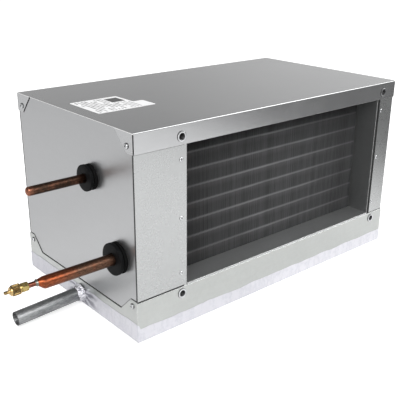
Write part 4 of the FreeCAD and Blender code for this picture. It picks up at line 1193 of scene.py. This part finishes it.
def core_and_seal():
    pin = lathe([(0, 0.5), (0.2, 0.8), (8.4, 0.8), (8.6, 0.6), (9.7, 0.6), (10, 0.35)], 24)
    build("core_pin_turned", [on_valve(pin, PIN_FOOT)], STEEL, ["core_pin"], "core")
    seal = lathe(soften([(0, 2.9), (0, 5.3), (1.2, 5.3), (1.2, 2.9)], 0.3, closed=True), 48, closed=True)
    build("cap_gasket_ring", [on_valve(seal, SEAL_FACE)], SEAL, ["cap_gasket"], "cap_seal")


valve_body()
knurled_cap()
core_and_seal()


# Drain and foil-faced insulation

def drain_matrix(along):
    """Z points out of the casing along the falling drain pipe, from a distance along it."""
    outward = Vector((-math.cos(DRAIN_FALL), 0, -math.sin(DRAIN_FALL)))
    return standing(DRAIN_ROOT + outward * along, outward)


def drain_pipe():
    """Pipe with a lightly reamed end and the sized stretch that a hose goes over."""
    outer, end = DRAIN_RADIUS, DRAIN_LENGTH
    pipe = lathe([
        (-4, DRAIN_BORE), (-4, outer - 0.5), (-3.7, outer - 0.2), (10.0, outer - 0.2), (10.3, outer),
        (end - 0.7, outer), (end - 0.2, outer - 0.25), (end, outer - 0.6), (end - 0.1, DRAIN_BORE + 0.4),
        (end - 0.8, DRAIN_BORE),
    ], 72, closed=True)
    # Painted shade on the bore and the end's rim.
    mark_hollow(pipe, 0.45, lambda radius, height: radius < 9.9 and height > 40)
    build("drain_pipe_reamed", [moved(pipe, drain_matrix(0))], PIPE_ZINC, ["drain_pipe"])


def crumple(point, scale, depth):
    """How far a foil surface stands out at a point: soft folds with sharp creases."""
    fold = noise.noise(point * scale) + 0.5 * noise.noise(point * scale * 2.3 + Vector((7, 3, 1)))
    crease = 1 - abs(noise.noise(point * scale * 1.4 + Vector((2, 9, 4)))) * 2.2
    return depth * (0.55 * fold + 0.45 * crease)


def mark_foil_shade(body, height_at, deep):
    """Marks painted shade on the foil's faces where height_at is below zero, the more the deeper it goes."""
    layer = marks(body, "crease")
    for face in body.faces:
        face[layer] = max(0.0, min(1.0, -height_at(face.calc_center_median()) / deep))


def drain_collar():
    """Foil gathered round the root of the drain pipe."""
    rings = []
    for along, radius in (
        (-0.2, 10.2), (-0.2, 13.4), (0.8, 13.0), (1.8, 12.3), (3.0, 11.9), (4.2, 12.1), (5.4, 11.6),
        (6.6, 11.2), (7.8, 10.9), (8.5, 10.6), (8.3, 10.15), (4.0, 10.1),
    ):
        ring = []
        for angle in round_angles(144):
            spot = Vector((math.cos(angle) * 3, math.sin(angle) * 3, along * 0.5))
            pleat = 1 - abs(math.sin(8 * angle + 2.0 * noise.noise(spot))) * 2
            lift = 0.0 if radius < 10.4 else crumple(spot, 1.6, 0.7) + 0.55 * pleat
            shift = 0.9 * math.sin(2 * angle + 0.6) + 0.6 * math.sin(5 * angle) if along > 7 else 0.0
            ring.append(polar(max(10.05, min(13.4, radius + lift)), angle, along + shift))
        rings.append(ring)
    collar = skin(rings, closed=True)
    # Painted shade in scattered patches over the gathered foil.
    mark_foil_shade(collar, lambda spot: noise.noise(spot * 260) * MM, 0.45 * MM)
    shell = moved(collar, drain_matrix(1.1 * MM))
    build("drain_collar_gathered", [shell], FOIL, ["drain_collar"], smooth=60.0)


def gathers(y, z):
    """Creases in the foil that run out from the drain pipe and die away."""
    across, up = y - DRAIN_ROOT.y, z - DRAIN_ROOT.z
    reach = math.hypot(across, up)
    turn = math.atan2(up, across) * 7 + 2.5 * noise.noise(Vector((across * 60, up * 60, 3.0)))
    ridge = 1 - abs(math.sin(turn)) * 1.8
    return 1.9 * MM * ridge * math.exp(-(reach / 0.032) ** 2) * min(1.0, reach / 0.010)


def foil_height(x, y):
    """The foil's upper edge above the floor at a place on its outline, higher on the connection side."""
    wave = noise.noise(Vector((x * 28, y * 28, 0.3))) * 1.6 + noise.noise(Vector((x * 90, y * 90, 1.7))) * 0.7
    on_left = max(0.0, min(1.0, (LEFT + 0.004 - x) / 0.003))
    return (20.0 + 7.0 * on_left + wave) * MM


def foil_outline():
    """Places along the outline of the foil, each with its outward direction."""
    left, right, side = LEFT - FOIL_GAP, RIGHT + FOIL_GAP, HALF_DEPTH + FOIL_GAP
    corners = [(left, -side), (right, -side), (right, side), (left, side)]
    outward = [Vector((0, -1, 0)), Vector((1, 0, 0)), Vector((0, 1, 0)), Vector((-1, 0, 0))]
    places = []
    for index, start in enumerate(corners):
        stop = corners[(index + 1) % 4]
        count = int(math.dist(start, stop) / FOIL_STEP)
        for spot in range(count):
            x, y = (first + (last - first) * (spot / count) for first, last in zip(start, stop))
            normal = outward[index] if spot else outward[index] + outward[index - 1]
            places.append((Vector((x, y, 0)), normal))
    return places


def foil_shade_depth(spot):
    """Negative where the foil gets painted shade: all over the connection side, more toward the back and most in
    the creases round the drain, and faintly on the rest, growing toward the left.
    """
    if spot.x < LEFT:
        return min(-0.16 * MM - 0.0005 * spot.y, gathers(spot.y, spot.z))
    return -0.09 * MM * min(1.0, max(0.0, -spot.x / 0.1))


def insulation():
    """Foam pad under the tray and its foil, turned up round the tray's walls, as one closed skin."""
    places = foil_outline()
    tops = [foil_height(place.x, place.y) for place, _ in places]

    def inner_ring(inset, heights):
        return [place - normal * inset * MM + Vector((0, 0, height))
                for (place, normal), height in zip(places, heights)]

    def level_all_round(height):
        return [height * MM] * len(places)

    rings = [inner_ring(3.0, level_all_round(0)), inner_ring(1.0, level_all_round(0.05))]
    for level in (0, 0.06, 0.13, 0.20, 0.27, 0.34, 0.41, 0.48, 0.55, 0.62, 0.69, 0.76, 0.83, 0.89, 0.95, 1):
        ring = []
        for (place, normal), top in zip(places, tops):
            up = FOIL_FOOT + (top - FOIL_FOOT) * level
            lift = crumple(Vector((place.x, place.y, up)) * 1000, 0.055, 0.45 * MM)
            if place.x < LEFT:
                lift += gathers(place.y, up)
            lift = max(-0.1 * MM, lift) * math.sin(math.pi * min(1.0, 0.12 + level * 0.80))
            ring.append(place + normal * lift + Vector((0, 0, up)))
        rings.append(ring)
    for inset, down in ((0.27, 0.15), (0.29, 3.0)):
        rings.append(inner_ring(inset, [top - down * MM for top in tops]))
    rings.append(inner_ring(0.29, level_all_round(4.95)))
    body = skin(rings)
    mark_foil_shade(body, foil_shade_depth, 0.6 * MM)
    stands_for = ["foil_wrap", "tray_insulation"]
    piece = build("foil_faced_insulation", [body], FOIL, stands_for, smooth=60.0)


drain_pipe()
drain_collar()
insulation()


# Label

def rating_label():
    body = clean_copy("rating_label")
    upright = [edge for edge in body.edges if abs(edge.verts[0].co.z - edge.verts[1].co.z) > 0.1 * MM]
    bmesh.ops.bevel(body, geom=upright, offset=LABEL_CORNER, segments=4, profile=0.5, affect="EDGES",
                    clamp_overlap=True)
    build("rating_label_film", [body], LABEL, ["rating_label"])


rating_label()


# Stage, light and camera

def cleared(owner):
    """An emptied material or world: its net, a mask of what is seen straight and one of reflections."""
    owner.use_nodes = True
    net = Net(owner.node_tree)
    net.tree.nodes.clear()
    path = net.named(net.add("ShaderNodeLightPath").outputs)
    straight = net.maths("MAXIMUM", path["Is Camera Ray"], path["Is Transmission Ray"])
    return net, straight, path["Is Glossy Ray"]


def floor():
    """A large pale floor that keeps the shadow: white to the camera, darker to the right in reflections."""
    material = bpy.data.materials.new("pale_floor")
    net, straight, mirrored = cleared(material)
    across, along, _ = net.parts(net.own())
    shown = across.spread(0.36, 0.76, 1.0, 0.17) * along.spread(-0.02, 0.35, 1.0, 0.82)
    level = mirrored.spread(0.0, 1.0, 0.80, shown * 0.80)
    matt = net.out("ShaderNodeBsdfDiffuse", {"Color": net.grey(level)})
    strength = straight * 0.62 + mirrored * 0.34 * shown
    glow = net.out("ShaderNodeEmission", {"Color": (1, 1, 1), "Strength": strength})
    net.add("ShaderNodeOutputMaterial", {"Surface": net.out("ShaderNodeAddShader", {0: matt, 1: glow})})
    mesh = bpy.data.meshes.new("floor")
    corners = [(x * FLOOR_REACH, y * FLOOR_REACH, 0) for x, y in ((-1, -1), (1, -1), (1, 1), (-1, 1))]
    mesh.from_pydata(corners, [], [(0, 1, 2, 3)])
    mesh.materials.append(material)
    ground = added("floor", mesh)
    ground.location.z = -FLOOR_DROP


def surroundings():
    """White to the camera; in reflections grey, darker upward, paler to the right, a bright band in front."""
    world = bpy.data.worlds.new("studio")
    bpy.context.scene.world = world
    net, straight, mirrored = cleared(world)
    right, ahead, up = net.parts(net.out("ShaderNodeTexCoord", output="Generated"))
    low = up.spread(0.10, 0.27, 0.64, 0.34) + right.spread(0.58, 0.84, 0.0, 0.26)
    band = up.spread(0.28, 0.48, 0.0, 3.4) * up.spread(0.64, 0.84, 1.0, 0.0)
    reflected = net.grey(band * ahead.spread(-0.45, -0.20, 1.0, 0.0) + low)
    seen = net.blend(straight, net.blend(mirrored, (0.55, 0.55, 0.56), reflected), (1, 1, 1))
    back = net.out("ShaderNodeBackground", {"Color": seen, "Strength": 1.0})
    net.add("ShaderNodeOutputWorld", {"Surface": back})


def soft_light(name, place, aim, size, power):
    data = bpy.data.lights.new(name, "AREA")
    data.shape = "RECTANGLE"
    data.size, data.size_y = size
    data.energy = power
    lamp = added(name, data)
    lamp.location = place
    lamp.rotation_mode = "QUATERNION"
    lamp.rotation_quaternion = (Vector(aim) - Vector(place)).to_track_quat("-Z", "Y")
    return lamp


def camera():
    """The photograph's view, with its turn, height angle and roll in degrees."""
    turn, tilt, roll = (math.radians(angle) for angle in CAMERA_ANGLES)
    back = Vector((math.sin(turn) * math.cos(tilt), -math.cos(turn) * math.cos(tilt), math.sin(tilt)))
    right = Vector((0, 0, 1)).cross(back).normalized()
    up = back.cross(right)
    across = right * math.cos(roll) + up * math.sin(roll)
    upward = up * math.cos(roll) - right * math.sin(roll)
    data = bpy.data.cameras.new("camera")
    data.sensor_width = SENSOR_WIDTH
    data.lens = FOCAL_PIXELS / PICTURE_WIDTH * SENSOR_WIDTH
    data.clip_start, data.clip_end = 0.01, 60.0
    view = added("camera", data)
    rotation = Matrix((across, upward, back)).transposed()
    view.matrix_world = Matrix.Translation(CAMERA_PLACE) @ rotation.to_4x4()
    bpy.context.scene.camera = view


floor()
surroundings()
soft_light("key", (-1.6, -1.8, 2.2), (0, 0, 0.1), (1.6, 1.6), 38)
soft_light("fill", (1.8, -1.4, 1.2), (0, 0, 0.15), (1.2, 1.6), 10)
soft_light("top", (0.2, 0.6, 2.6), (0, 0, 0.1), (2.0, 2.0), 22).visible_glossy = False
camera()
bpy.context.scene.view_settings.view_transform = "Standard"
